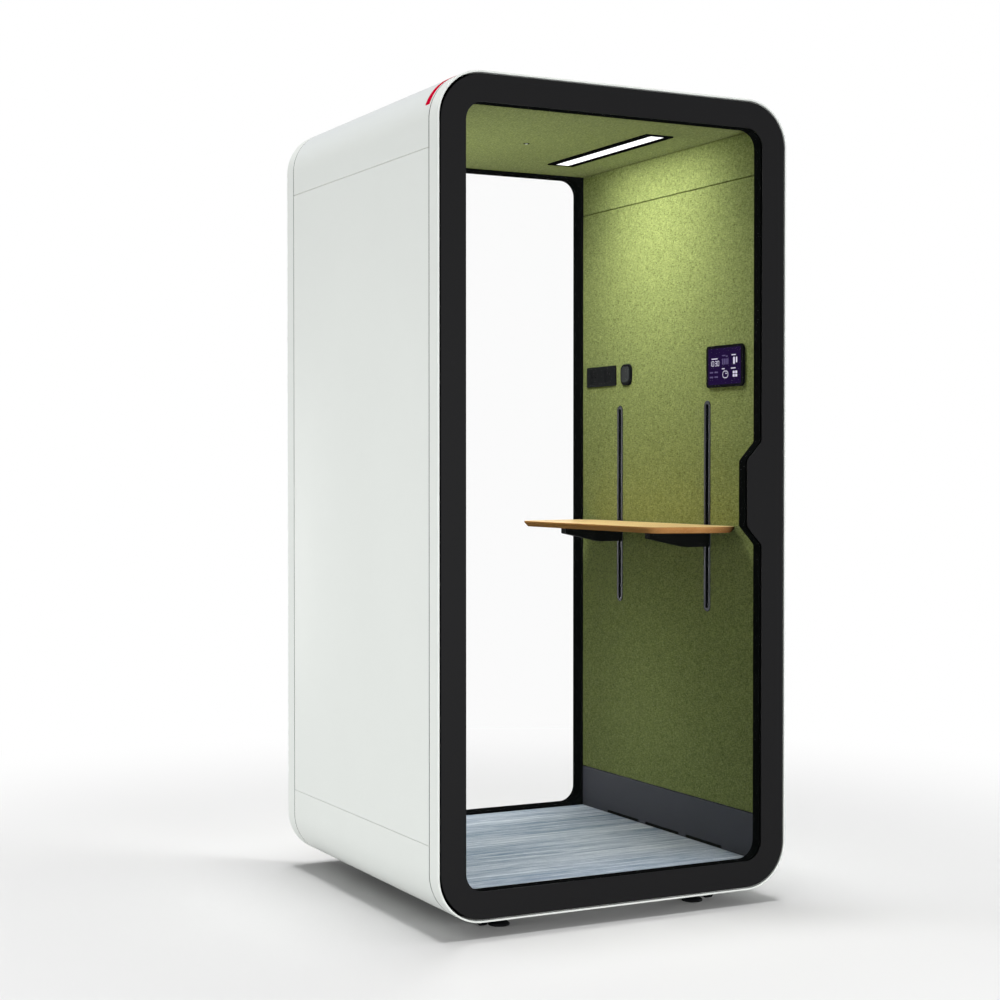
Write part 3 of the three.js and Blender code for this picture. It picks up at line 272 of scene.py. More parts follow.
class Form:
    """Mesh under construction, made of closed plates and turned shapes."""

    def __init__(self) -> None:
        """Start with an empty mesh."""
        self.mesh = bmesh.new()

    def join(
        self, rings: Sequence[Sequence[Vector]], slot: int = 0, closed: bool = False
    ) -> list[Ring]:
        """Join equally long closed rings of points with quads.

        Args:
            rings: Rings of points in order.
            slot: Material slot of the faces.
            closed: Whether the last ring is joined to the first.

        Returns:
            The rings of vertices.
        """
        made = [[self.mesh.verts.new(point) for point in ring] for ring in rings]
        for low, high in zip(made, made[1:] + made[:1] if closed else made[1:]):
            for index in range(len(low)):
                quad = (low[index - 1], low[index], high[index], high[index - 1])
                self.mesh.faces.new(quad).material_index = slot
        return made

    def cap(self, rings: Sequence[Ring], slot: int = 0) -> None:
        """Close the end of a plate.

        Args:
            rings: The outer ring of vertices, then those of the holes.
            slot: Material slot of the faces.
        """
        if len(rings) == 1:
            self.mesh.faces.new(rings[0]).material_index = slot
            return
        pairs = [(ring[index - 1], ring[index]) for ring in rings for index in range(len(ring))]
        edges = [self.mesh.edges.get(pair) for pair in pairs]
        made = bmesh.ops.triangle_fill(self.mesh, use_beauty=True, edges=edges)
        for item in made["geom"]:
            if isinstance(item, bmesh.types.BMFace):
                item.material_index = slot

    def _crease(self, ring: Ring) -> None:
        """Mark the edges along a ring as sharp, so a flat face beside it shades flat."""
        for index, vertex in enumerate(ring):
            self.mesh.edges.get((ring[index - 1], vertex)).smooth = False

    def plate(
        self,
        axis: Axis,
        outer: Outline,
        span: Span,
        holes: Iterable[Outline] = (),
        near: Edge = SQUARE,
        far: Edge = SQUARE,
        slots: tuple[int, int, int] = (0, 0, 0),
    ) -> Form:
        """Draw an outline out into a closed plate with dressed edges.

        Args:
            axis: Direction of the plate's thickness.
            outer: Outer outline.
            span: Near and far face along the axis.
            holes: Outlines of the holes through it.
            near: Profile of the edges at the near face.
            far: Profile of the edges at the far face.
            slots: Material slots of the near face, the walls and the far face.

        Returns:
            The form itself.
        """
        steps = [(inset, span[0] + depth) for inset, depth in near]
        steps += [(inset, span[1] - depth) for inset, depth in reversed(far)]
        ends: list[tuple[Ring, Ring]] = []
        for index, outline in enumerate([outer, *holes]):
            side = -1.0 if index else 1.0
            made = self.join([
                [axis.place(u, v, w) for u, v in drawn_in(outline, side * inset)]
                for inset, w in steps
            ], slots[1])
            for ring in (made[0], made[len(near) - 1], made[len(near)], made[-1]):
                self._crease(ring)
            ends.append((made[0], made[-1]))
        self.cap([low for low, _ in ends], slots[0])
        self.cap([high for _, high in ends], slots[2])
        return self

    def turned(
        self,
        axis: Axis,
        centre: Sequence[float],
        profile: Sequence[Point],
        count: int = 48,
        slot: int = 0,
        closed: bool = False,
    ) -> Form:
        """Turn a profile about an axis into a closed round shape.

        Args:
            axis: Direction of the axis.
            centre: Point on the axis that the profile starts from.
            profile: Radius and place along the axis; a radius of 0 at an end makes a pole.
            count: Facets round the axis.
            slot: Material slot of the faces.
            closed: Whether the profile runs round a bore and back to its start.

        Returns:
            The form itself.
        """
        offset = Vector(centre) * MM
        made = self.join([
            [axis.place(u, v, w) + offset for u, v in circle(0, 0, radius, count)]
            for radius, w in profile
            if radius > 0
        ], slot, closed)
        ends = () if closed else ((made[0], profile[0]), (made[-1], profile[-1]))
        for ring, (radius, w) in ends:
            if radius > 0:
                self.cap([ring], slot)
                continue
            pole = self.mesh.verts.new(axis.place(0, 0, w) + offset)
            for index in range(count):
                self.mesh.faces.new((ring[index - 1], ring[index], pole)).material_index = slot
        return self

    def add(self, mesh: bpy.types.Mesh) -> Form:
        """Take a finished mesh into the form."""
        self.mesh.from_mesh(mesh)
        return self

    def finished(self, name: str, sharp: float = SHARP) -> bpy.types.Mesh:
        """Turn the form into a mesh in metres, with outward faces and marked edges."""
        bmesh.ops.recalc_face_normals(self.mesh, faces=self.mesh.faces[:])
        return crisp(self.mesh, name, sharp)

    def carved(self, tool: Form, name: str) -> bpy.types.Mesh:
        """Cut another form out of this one.

        Args:
            tool: What is taken away.
            name: Name of the mesh that is made.

        Returns:
            The cut mesh, with its new edges marked sharp.
        """
        body = linked("carve_body", self.finished("carve_body"))
        cutter = linked("carve_tool", tool.finished("carve_tool"))
        modifier = body.modifiers.new("carve", "BOOLEAN")
        modifier.operation = "DIFFERENCE"
        modifier.solver = "EXACT"
        modifier.object = cutter
        working = bmesh.new()
        working.from_mesh(evaluated(body))
        for item in (body, cutter):
            bpy.data.objects.remove(item)
        return crisp(working, name)


class Socket:
    """Output of a shader node, with arithmetic that adds Math nodes."""

    def __init__(self, mixer: Mixer, socket: bpy.types.NodeSocket) -> None:
        """Keep the socket and the tree that it belongs to."""
        self.mixer = mixer
        self.socket = socket

    def _math(self, operation: str, first: Value, second: Value) -> Socket:
        """Add a Math node on two values."""
        return self.mixer.node("ShaderNodeMath", {"operation": operation}, {0: first, 1: second})

    def __add__(self, other: Value) -> Socket:
        """Add a value."""
        return self._math("ADD", self, other)

    def __radd__(self, other: Value) -> Socket:
        """Add to a value."""
        return self._math("ADD", other, self)

    def __sub__(self, other: Value) -> Socket:
        """Take a value away."""
        return self._math("SUBTRACT", self, other)

    def __rsub__(self, other: Value) -> Socket:
        """Take from a value."""
        return self._math("SUBTRACT", other, self)

    def __mul__(self, other: Value) -> Socket:
        """Multiply by a value."""
        return self._math("MULTIPLY", self, other)

    def __rmul__(self, other: Value) -> Socket:
        """Multiply a value."""
        return self._math("MULTIPLY", other, self)

    def swing(self, amount: float) -> Socket:
        """Turn a value about 0.5 into one that swings about 0."""
        return (self - 0.5) * amount

    def clamped(self) -> Socket:
        """Keep the value between 0 and 1."""
        return self.mixer.node("ShaderNodeClamp", {}, {0: self, 1: 0.0, 2: 1.0})


Value = Union[Socket, float]
Tone = Union[Socket, Colour]


class Mixer:
    """Node tree of a material or the world while it is being mixed."""

    def __init__(self, tree: bpy.types.NodeTree) -> None:
        """Start from an empty tree."""
        self.tree = tree
        tree.nodes.clear()

    def node(
        self,
        kind: str,
        settings: Optional[Mapping[str, Any]] = None,
        sockets: Optional[Mapping[Union[int, str], Any]] = None,
        output: Union[int, str] = 0,
    ) -> Socket:
        """Add a node.

        Args:
            kind: Type of the node.
            settings: Its settings, which are set first.
            sockets: Values or links of its inputs, by index or name.
            output: Which output is handed on.

        Returns:
            That output.
        """
        made = self.tree.nodes.new(kind)
        for key, setting in (settings or {}).items():
            setattr(made, key, setting)
        for key, value in (sockets or {}).items():
            if isinstance(value, Socket):
                self.tree.links.new(value.socket, made.inputs[key])
            else:
                made.inputs[key].default_value = value
        return Socket(self, made.outputs[output] if made.outputs else made.inputs[0])

    def place(self, scale: Corner = (1.0, 1.0, 1.0)) -> Socket:
        """Object coordinates of the piece, stretched by a scale on each axis."""
        spot = self.node("ShaderNodeTexCoord", output="Object")
        return self.node("ShaderNodeVectorMath", {"operation": "MULTIPLY"}, {0: spot, 1: scale})

    def noise(
        self,
        scale: Union[float, Corner],
        detail: float = 2.0,
        roughness: float = 0.5,
        bend: float = 0.0,
    ) -> Socket:
        """Noise over the piece.

        Args:
            scale: Cells to a metre, the same all ways or along each axis.
            detail: Finer layers.
            roughness: Weight of the finer layers.
            bend: How far the noise is distorted.

        Returns:
            A value about 0.5.
        """
        return self.node("ShaderNodeTexNoise", {}, {
            "Vector": self.place((scale, scale, scale) if isinstance(scale, float) else scale),
            "Scale": 1.0,
            "Detail": detail,
            "Roughness": roughness,
            "Distortion": bend,
        })

    def along(self, axis: str, span: Span) -> Socket:
        """Rise from 0 to 1 over a span of an object's own axis, in metres."""
        spot = self.node("ShaderNodeSeparateXYZ", {}, {0: self.place()}, axis)
        return ((spot - span[0]) * (1.0 / (span[1] - span[0]))).clamped()

    def blend(self, factor: Value, first: Tone, second: Tone) -> Socket:
        """Mix two colours by a factor."""
        settings = {"data_type": "RGBA", "clamp_factor": True}
        return self.node("ShaderNodeMix", settings, {0: factor, 6: first, 7: second}, output=2)

    def drifting(self, factor: Value, colour: Colour, low: float, high: float) -> Socket:
        """Let a colour drift between a darker and a lighter shade of itself."""
        return self.blend(factor, shaded(colour, low), shaded(colour, high))

    def bump(self, height: Socket, depth: float, strength: float) -> Socket:
        """Bend the normal by a height of 0 to 1 that stands for a depth in millimetres."""
        sockets = {"Height": height, "Distance": depth * MM, "Strength": strength}
        return self.node("ShaderNodeBump", {}, sockets, "Normal")

    def principled(self, sockets: Mapping[str, Any]) -> Socket:
        """Add the main shader with the given inputs."""
        return self.node("ShaderNodeBsdfPrincipled", {}, sockets)


@dataclass(frozen=True)
class Finish(ABC):
    """Finish of a surface: a name, the record's slot that it stands for, and how it is mixed."""

    name: str
    slot: str

    @abstractmethod
    def sockets(self, mixer: Mixer) -> dict[str, Any]:
        """Inputs of the main shader, mixed in the tree of a material."""

    def material(self) -> bpy.types.Material:
        """Make the material of the finish.

        Returns:
            The material.
        """
        made = bpy.data.materials.new(self.name)
        made.use_nodes = True
        mixer = Mixer(made.node_tree)
        shader = mixer.principled(self.sockets(mixer))
        mixer.node("ShaderNodeOutputMaterial", {}, {"Surface": shader})
        return made


@dataclass(frozen=True)
class PaintedSheet(Finish):
    """Powder-coated sheet: a fine peel in the gloss and a faint drift in tone."""

    colour: Colour
    roughness: float
    specular: float
    peel: float = 0.02
    drift: float = 0.02
    # Painted shade: a darker tone that the paint turns to towards the top, over a span of Z in
    # metres.
    painted_top_shade: Optional[Colour] = None
    painted_top_shade_from: Span = (2.18, 2.3)

    def sockets(self, mixer: Mixer) -> dict[str, Any]:
        """Mix paint with a fine peel, and painted shade that darkens it towards the top where a top
        shade is given.

        Args:
            mixer: Tree that takes the nodes.

        Returns:
            Inputs of the main shader.
        """
        cloud = mixer.noise(2.5, 4.0, 0.6)
        peel = mixer.noise(420.0, 1.0)
        tone = mixer.drifting(cloud, self.colour, 1 - self.drift, 1 + self.drift)
        # Painted shade: blend towards the darker top tone over the given span of Z.
        if self.painted_top_shade:
            tone = mixer.blend(mixer.along("Z", self.painted_top_shade_from), tone, self.painted_top_shade)
        return {
            "Base Color": tone,
            "Roughness": (self.roughness + cloud.swing(0.12) + peel.swing(0.06)).clamped(),
            "Specular IOR Level": self.specular,
            "Normal": mixer.bump(peel, self.peel, 0.5),
        }


@dataclass(frozen=True)
class WovenFelt(Finish):
    """Pressed felt with a linen-like face of light and dark threads that cross."""

    dark: Colour
    light: Colour
    lay: Lay
    weft: Corner = (72.0, 540.0, 110.0)
    warp: Corner = (320.0, 150.0, 320.0)

    def sockets(self, mixer: Mixer) -> dict[str, Any]:
        """Mix crossing threads, a fine fuzz and a soft mottle.

        Args:
            mixer: Tree that takes the nodes.

        Returns:
            Inputs of the main shader.
        """
        weft = mixer.noise(self.lay.stretched(*self.weft), 2.0, 0.6)
        warp = mixer.noise(self.lay.stretched(*self.warp), 2.0, 0.6)
        fuzz = mixer.noise(1300.0, 1.0)
        mottle = mixer.noise(40.0, 2.0, 0.6)
        threads = weft.swing(1.7) + warp.swing(1.6)
        weave = (0.5 + threads + mottle.swing(0.25) + fuzz.swing(0.5)).clamped()
        return {
            "Base Color": mixer.blend(weave, self.dark, self.light),
            "Roughness": (0.88 + weave.swing(0.15)).clamped(),
            "Specular IOR Level": 0.02,
            "Sheen Weight": 0.03,
            "Sheen Roughness": 0.5,
            "Normal": mixer.bump(weft * 0.5 + warp * 0.5, 0.6, 0.6),
        }


@dataclass(frozen=True)
class LoopCarpet(Finish):
    """Ribbed carpet whose rows carry pale streaks of different lengths."""

    dark: Colour
    light: Colour
    rows: float = 250.0
    pale_from: float = 0.57

    def sockets(self, mixer: Mixer) -> dict[str, Any]:
        """Mix streaks that run along the rows and the loops on them.

        Args:
            mixer: Tree that takes the nodes.

        Returns:
            Inputs of the main shader.
        """
        band = mixer.noise((0.8, 14.0, 4.0), 2.0, 0.55)
        streak = mixer.noise((2.8, 80.0, 10.0), 3.0, 0.6)
        dash = mixer.noise((14.0, self.rows, 30.0), 2.0, 0.6)
        loop = mixer.noise((420.0, self.rows, 420.0), 1.0)
        pale = ((streak - self.pale_from) * 6.0).clamped()
        lines = band.swing(1.1) + streak.swing(1.7) + dash.swing(1.2)
        tone = (0.4 + lines + loop.swing(0.7) + pale * 0.3).clamped()
        return {
            "Base Color": mixer.blend(tone, self.dark, self.light),
            "Roughness": (0.9 + loop.swing(0.15)).clamped(),
            "Specular IOR Level": 0.02,
            "Sheen Weight": 0.03,
            "Normal": mixer.bump(loop * 0.7 + dash * 0.3, 0.8, 0.7),
        }


@dataclass(frozen=True)
class OakVeneer(Finish):
    """Lacquered oak whose grain runs along the desk."""

    dark: Colour
    light: Colour
    roughness: float = 0.42
    specular: float = 0.2
    coat: float = 0.04
    pore_from: float = 0.6
    # Painted shade: how dark the veneer turns near the wall, and the span of X in metres over which
    # it darkens.
    deep: float = 0.2
    painted_wall_shade_from: Optional[Span] = None

    def sockets(self, mixer: Mixer) -> dict[str, Any]:
        """Mix long figure, narrow grain lines and short pores, with painted shade that darkens the
        veneer near the wall if asked.

        Args:
            mixer: Tree that takes the nodes.

        Returns:
            Inputs of the main shader.
        """
        figure = mixer.noise((11.0, 0.9, 11.0), 3.0, 0.6, 0.6)
        lines = mixer.noise((130.0, 2.2, 130.0), 3.0, 0.65)
        pore = ((mixer.noise((700.0, 26.0, 700.0), 1.0) - self.pore_from) * 6.0).clamped()
        tone = (0.55 + figure.swing(1.0) + lines.swing(0.9) - pore * 0.22).clamped()
        colour = mixer.blend(tone, self.dark, self.light)
        # Painted shade: the veneer darkens towards the wall, where the end of the desk lies in
        # shade.
        if self.painted_wall_shade_from:
            deep = shaded(self.dark, self.deep)
            colour = mixer.blend(mixer.along("X", self.painted_wall_shade_from), colour, deep)
        return {
            "Base Color": colour,
            "Roughness": (self.roughness + pore * 0.15 + lines.swing(0.1)).clamped(),
            "Specular IOR Level": self.specular,
            "Coat Weight": self.coat,
            "Coat Roughness": 0.3,
            "Normal": mixer.bump(1.0 - pore, 0.05, 0.4),
        }


@dataclass(frozen=True)
class BrushedMetal(Finish):
    """Metal with fine upright brushing and a few worn patches."""

    colour: Colour
    roughness: float

    def sockets(self, mixer: Mixer) -> dict[str, Any]:
        """Mix brushing lines and a drift in the gloss.

        Args:
            mixer: Tree that takes the nodes.

        Returns:
            Inputs of the main shader.
        """
        lines = mixer.noise((900.0, 900.0, 14.0), 2.0, 0.6)
        wear = mixer.noise(18.0, 4.0, 0.65)
        return {
            "Base Color": mixer.drifting(lines, self.colour, 0.86, 1.12),
            "Metallic": 1.0,
            "Roughness": (self.roughness + lines.swing(0.2) + wear.swing(0.15)).clamped(),
            "Normal": mixer.bump(lines, 0.02, 0.4),
        }


@dataclass(frozen=True)
class MouldedPlastic(Finish):
    """Moulded plastic or rubber with a fine spark-eroded grain."""

    colour: Colour
    roughness: float
    grain: float = 0.03
    specular: float = 0.4

    def sockets(self, mixer: Mixer) -> dict[str, Any]:
        """Mix the grain of the mould and a faint drift in tone.

        Args:
            mixer: Tree that takes the nodes.

        Returns:
            Inputs of the main shader.
        """
        grain = mixer.noise(1500.0, 2.0, 0.6)
        cloud = mixer.noise(9.0, 3.0)
        return {
            "Base Color": mixer.drifting(cloud * 0.6 + grain * 0.4, self.colour, 0.9, 1.12),
            "Roughness": (self.roughness + cloud.swing(0.1) + grain.swing(0.1)).clamped(),
            "Specular IOR Level": self.specular,
            "Normal": mixer.bump(grain, self.grain, 0.5),
        }


@dataclass(frozen=True)
class ClearPane(Finish):
    """Clear pane, seen mostly by what is behind it."""

    colour: Colour
    alpha: float

    def sockets(self, mixer: Mixer) -> dict[str, Any]:
        """Mix a thin tint with a faint drift in the gloss.

        Args:
            mixer: Tree that takes the nodes.

        Returns:
            Inputs of the main shader.
        """
        film = mixer.noise(3.0)
        return {
            "Base Color": mixer.drifting(film, self.colour, 0.9, 1.1),
            "Roughness": (0.03 + film * 0.03).clamped(),
            "Alpha": self.alpha,
            "IOR": 1.5,
        }


@dataclass(frozen=True)
class GlossPanel(Finish):
    """Black glass of a screen, with the faint smears of use in its gloss."""

    colour: Colour

    def sockets(self, mixer: Mixer) -> dict[str, Any]:
        """Mix deep black with smears in the roughness.

        Args:
            mixer: Tree that takes the nodes.

        Returns:
            Inputs of the main shader.
        """
        smear = mixer.noise((14.0, 30.0, 30.0), 4.0, 0.6, 0.5)
        return {
            "Base Color": mixer.drifting(smear, self.colour, 0.9, 1.2),
            "Roughness": (0.12 + smear.swing(0.14)).clamped(),
            "Specular IOR Level": 0.02,
        }


@dataclass(frozen=True)
class Glow(Finish):
    """Surface that shines by itself, a little uneven over its length."""

    colour: Colour
    strength: float = 1.0
    uneven: float = 0.06

    def sockets(self, mixer: Mixer) -> dict[str, Any]:
        """Mix a nearly even glow under a matt skin.

        Args:
            mixer: Tree that takes the nodes.

        Returns:
            Inputs of the main shader.
        """
        cloud = mixer.noise(20.0)
        return {
            "Base Color": shaded(self.colour, 0.03),
            "Roughness": (0.45 + cloud.swing(0.1)).clamped(),
            "Specular IOR Level": 0.0,
            "Emission Color": mixer.drifting(cloud, self.colour, 1 - self.uneven, 1 + self.uneven),
            "Emission Strength": self.strength,
        }


@dataclass(frozen=True)
class LayeredBoard(Finish):
    """Plywood or mineral wool: layers that lie flat, with fibres in them."""

    dark: Colour
    light: Colour
    layer: float

    def sockets(self, mixer: Mixer) -> dict[str, Any]:
        """Mix flat layers and fibres.

        Args:
            mixer: Tree that takes the nodes.

        Returns:
            Inputs of the main shader.
        """
        layers = mixer.noise((6.0, 6.0, 1000.0 / self.layer))
        fibres = mixer.noise((40.0, 300.0, 300.0), 3.0, 0.6)
        tone = (0.5 + layers.swing(1.2) + fibres.swing(0.8)).clamped()
        return {
            "Base Color": mixer.blend(tone, self.dark, self.light),
            "Roughness": (0.85 + fibres.swing(0.2)).clamped(),
            "Specular IOR Level": 0.2,
            "Normal": mixer.bump(fibres, 0.3, 0.5),
        }


WHITE_PAINT = PaintedSheet("shell_white", "white_paint", srgb(232, 236, 232), 0.5, 0.06)
# The roof paint carries painted shade that darkens it towards the top edge.
ROOF_PAINT_TOP_SHADED = replace(WHITE_PAINT, name="roof_white_top_shaded", painted_top_shade=srgb(217, 221, 222))
BLACK_FRAME = PaintedSheet(
    "frame_black", "black_frame", srgb(25, 25, 26), roughness=0.5, specular=0.06, drift=0.06)
# A darker copy of the frame black for inner faces and reveals: painted shade.
BLACK_FRAME_SHADED = replace(
    BLACK_FRAME, name="frame_black_shaded", colour=srgb(10, 10, 11), roughness=0.6, specular=0.0)
BLACK_STEEL = PaintedSheet(
    "bracket_black", "black_steel", srgb(9, 9, 9), roughness=0.55, specular=0.02, drift=0.06)
GREY_PAINT = PaintedSheet(
    "skirting_grey", "grey_paint", srgb(82, 83, 92), 0.55, 0.08, peel=0.006, drift=0.05)
WALL_FELT = WovenFelt(
    "felt_wall", "green_felt", srgb(92, 100, 56), srgb(160, 172, 105), Lay.WALL)
CEILING_FELT = replace(WALL_FELT, name="felt_ceiling", lay=Lay.CEILING)
CARPET = LoopCarpet("carpet_grey", "grey_carpet", srgb(132, 152, 176), srgb(233, 240, 247))
OAK_TOP = OakVeneer("oak_top", "oak", srgb(220, 182, 120), srgb(242, 212, 155))
# The edge veneer carries painted shade towards the wall end of the desk.
OAK_EDGE = OakVeneer(
    "oak_edge", "oak", srgb(172, 117, 66), srgb(202, 149, 92),
    roughness=0.5, specular=0.0, coat=0.0, painted_wall_shade_from=(0.34, 0.455))
STEEL = BrushedMetal("steel_bright", "steel", srgb(150, 152, 156), 0.38)
DARK_ALUMINIUM = BrushedMetal("rail_grey", "dark_aluminium", srgb(54, 55, 60), 0.45)
BLACK_PLASTIC = MouldedPlastic(
    "plastic_black", "black_plastic", srgb(18, 19, 21), 0.55, grain=0.02, specular=0.015)
GREY_PLASTIC = MouldedPlastic(
    "plastic_grey", "grey_plastic", srgb(49, 51, 53), 0.55, grain=0.02, specular=0.03)
BLACK_RUBBER = MouldedPlastic(
    "rubber_black", "black_rubber", srgb(17, 17, 17), 0.8, grain=0.05, specular=0.04)
GLASS = ClearPane("pane_clear", "clear_glass", srgb(60, 74, 69), 0.01)
SCREEN_BLACK = GlossPanel("screen_black", "screen", srgb(7, 6, 9))
SCREEN_PURPLE = Glow("screen_purple", "screen", srgb(31, 15, 55), uneven=0.25)
SCREEN_TILE = Glow("screen_tile", "screen", srgb(92, 80, 120))
SCREEN_MARK = Glow("screen_mark", "screen", srgb(212, 206, 226))
OPAL = Glow("lamp_opal", "opal", WHITE, 1.6)
SENSOR_OPAL = MouldedPlastic("sensor_white", "opal", srgb(205, 208, 205), 0.4)
RED_LIGHT = Glow("status_red", "red_light", srgb(198, 4, 46), uneven=0.1)
PLYWOOD = LayeredBoard("deck_ply", "plywood", srgb(160, 126, 82), srgb(206, 176, 128), 1.5)
INSULATION = LayeredBoard("core_wool", "insulation", srgb(140, 136, 120), srgb(184, 180, 166), 9.0)

Spots = tuple[bpy.types.NodeSocket, Optional[bpy.types.NodeSocket]]


class RepeatTree(ABC):
    """Geometry Nodes tree that repeats one small piece, with named inputs for its sizes."""

    def __init__(self, name: str, inputs: Mapping[str, str]) -> None:
        """Make the tree.

        Args:
            name: Name of the tree.
            inputs: Socket type of each named input.
        """
        self.tree = bpy.data.node_groups.new(name, "GeometryNodeTree")
        face = self.tree.interface
        face.new_socket("Geometry", in_out="OUTPUT", socket_type="NodeSocketGeometry")
        common = {"Piece": "Object", "Finish": "Material", "Count": "Int"}
        for key, kind in {**common, **inputs}.items():
            face.new_socket(key, in_out="INPUT", socket_type=f"NodeSocket{kind}")
        source = self.tree.nodes.new("NodeGroupInput").outputs
        points, turn = self.points(source)
        piece = self.node("GeometryNodeObjectInfo", {"Object": source["Piece"]})
        links = {"Points": points, "Instance": piece.outputs["Geometry"]}
        if turn:
            links["Rotation"] = turn
        copies = self.node("GeometryNodeInstanceOnPoints", links).outputs[0]
        real = self.node("GeometryNodeRealizeInstances", {"Geometry": copies}).outputs[0]
        paint = {"Geometry": real, "Material": source["Finish"]}
        painted = self.node("GeometryNodeSetMaterial", paint).outputs[0]
        self.node("NodeGroupOutput", {"Geometry": painted})

    @abstractmethod
    def points(self, inputs: bpy.types.NodeOutputs) -> Spots:
        """Add the nodes that say where the copies stand and how they are turned."""

    def node(self, kind: str, links: Mapping[Union[int, str], Any]) -> bpy.types.Node:
        """Add a node to the tree.

        Args:
            kind: Type of the node.
            links: Links of its inputs.

        Returns:
            The node.
        """
        made = self.tree.nodes.new(kind)
        for key, link in links.items():
            self.tree.links.new(link, made.inputs[key])
        return made

    def grow(
        self, piece: bpy.types.Mesh, finish: bpy.types.Material, values: Mapping[str, Any]
    ) -> bpy.types.Mesh:
        """Repeat a piece.

        Args:
            piece: Mesh of one copy.
            finish: Material of the copies.
            values: Values of the tree's other inputs.

        Returns:
            One plain mesh of all the copies.
        """
        model = linked("repeat_model", piece)
        holder = linked("repeat_holder", bpy.data.meshes.new("repeat_holder"))
        modifier = holder.modifiers.new("repeat", "NODES")
        modifier.node_group = self.tree
        wanted = {"Piece": model, "Finish": finish, **values}
        for item in self.tree.interface.items_tree:
            if item.in_out == "INPUT":
                modifier[item.identifier] = wanted[item.name]
        mesh = evaluated(holder)
        for item in (holder, model):
            bpy.data.objects.remove(item)
        return mesh


class RowTree(RepeatTree):
    """Copies along a straight row."""

    def __init__(self) -> None:
        """Make the tree with a start and a step."""
        super().__init__("row_of_pieces", {"Start": "Vector", "Step": "Vector"})

    def points(self, inputs: bpy.types.NodeOutputs) -> Spots:
        """Lay the points out from the start by equal steps.

        Args:
            inputs: The tree's named inputs.

        Returns:
            The points, and nothing that turns them.
        """
        links = {"Count": "Count", "Start Location": "Start", "Offset": "Step"}
        row = self.node("GeometryNodeMeshLine", {key: inputs[name] for key, name in links.items()})
        return row.outputs["Mesh"], None


class RingTree(RepeatTree):
    """Copies turned about an upright axis."""

    def __init__(self) -> None:
        """Make the tree with a centre and the turn from copy to copy."""
        super().__init__("ring_of_pieces", {"Centre": "Vector", "Turn": "Float"})

    def points(self, inputs: bpy.types.NodeOutputs) -> Spots:
        """Put all points at the centre and turn each by its number.

        Args:
            inputs: The tree's named inputs.

        Returns:
            The points and their turns.
        """
        links = {"Count": inputs["Count"], "Position": inputs["Centre"]}
        spots = self.node("GeometryNodePoints", links)
        index = self.node("GeometryNodeInputIndex", {})
        angle = self.node("ShaderNodeMath", {0: index.outputs[0], 1: inputs["Turn"]})
        angle.operation = "MULTIPLY"
        euler = self.node("ShaderNodeCombineXYZ", {"Z": angle.outputs[0]})
        turn = self.node("FunctionNodeEulerToRotation", {"Euler": euler.outputs[0]})
        return spots.outputs[0], turn.outputs[0]


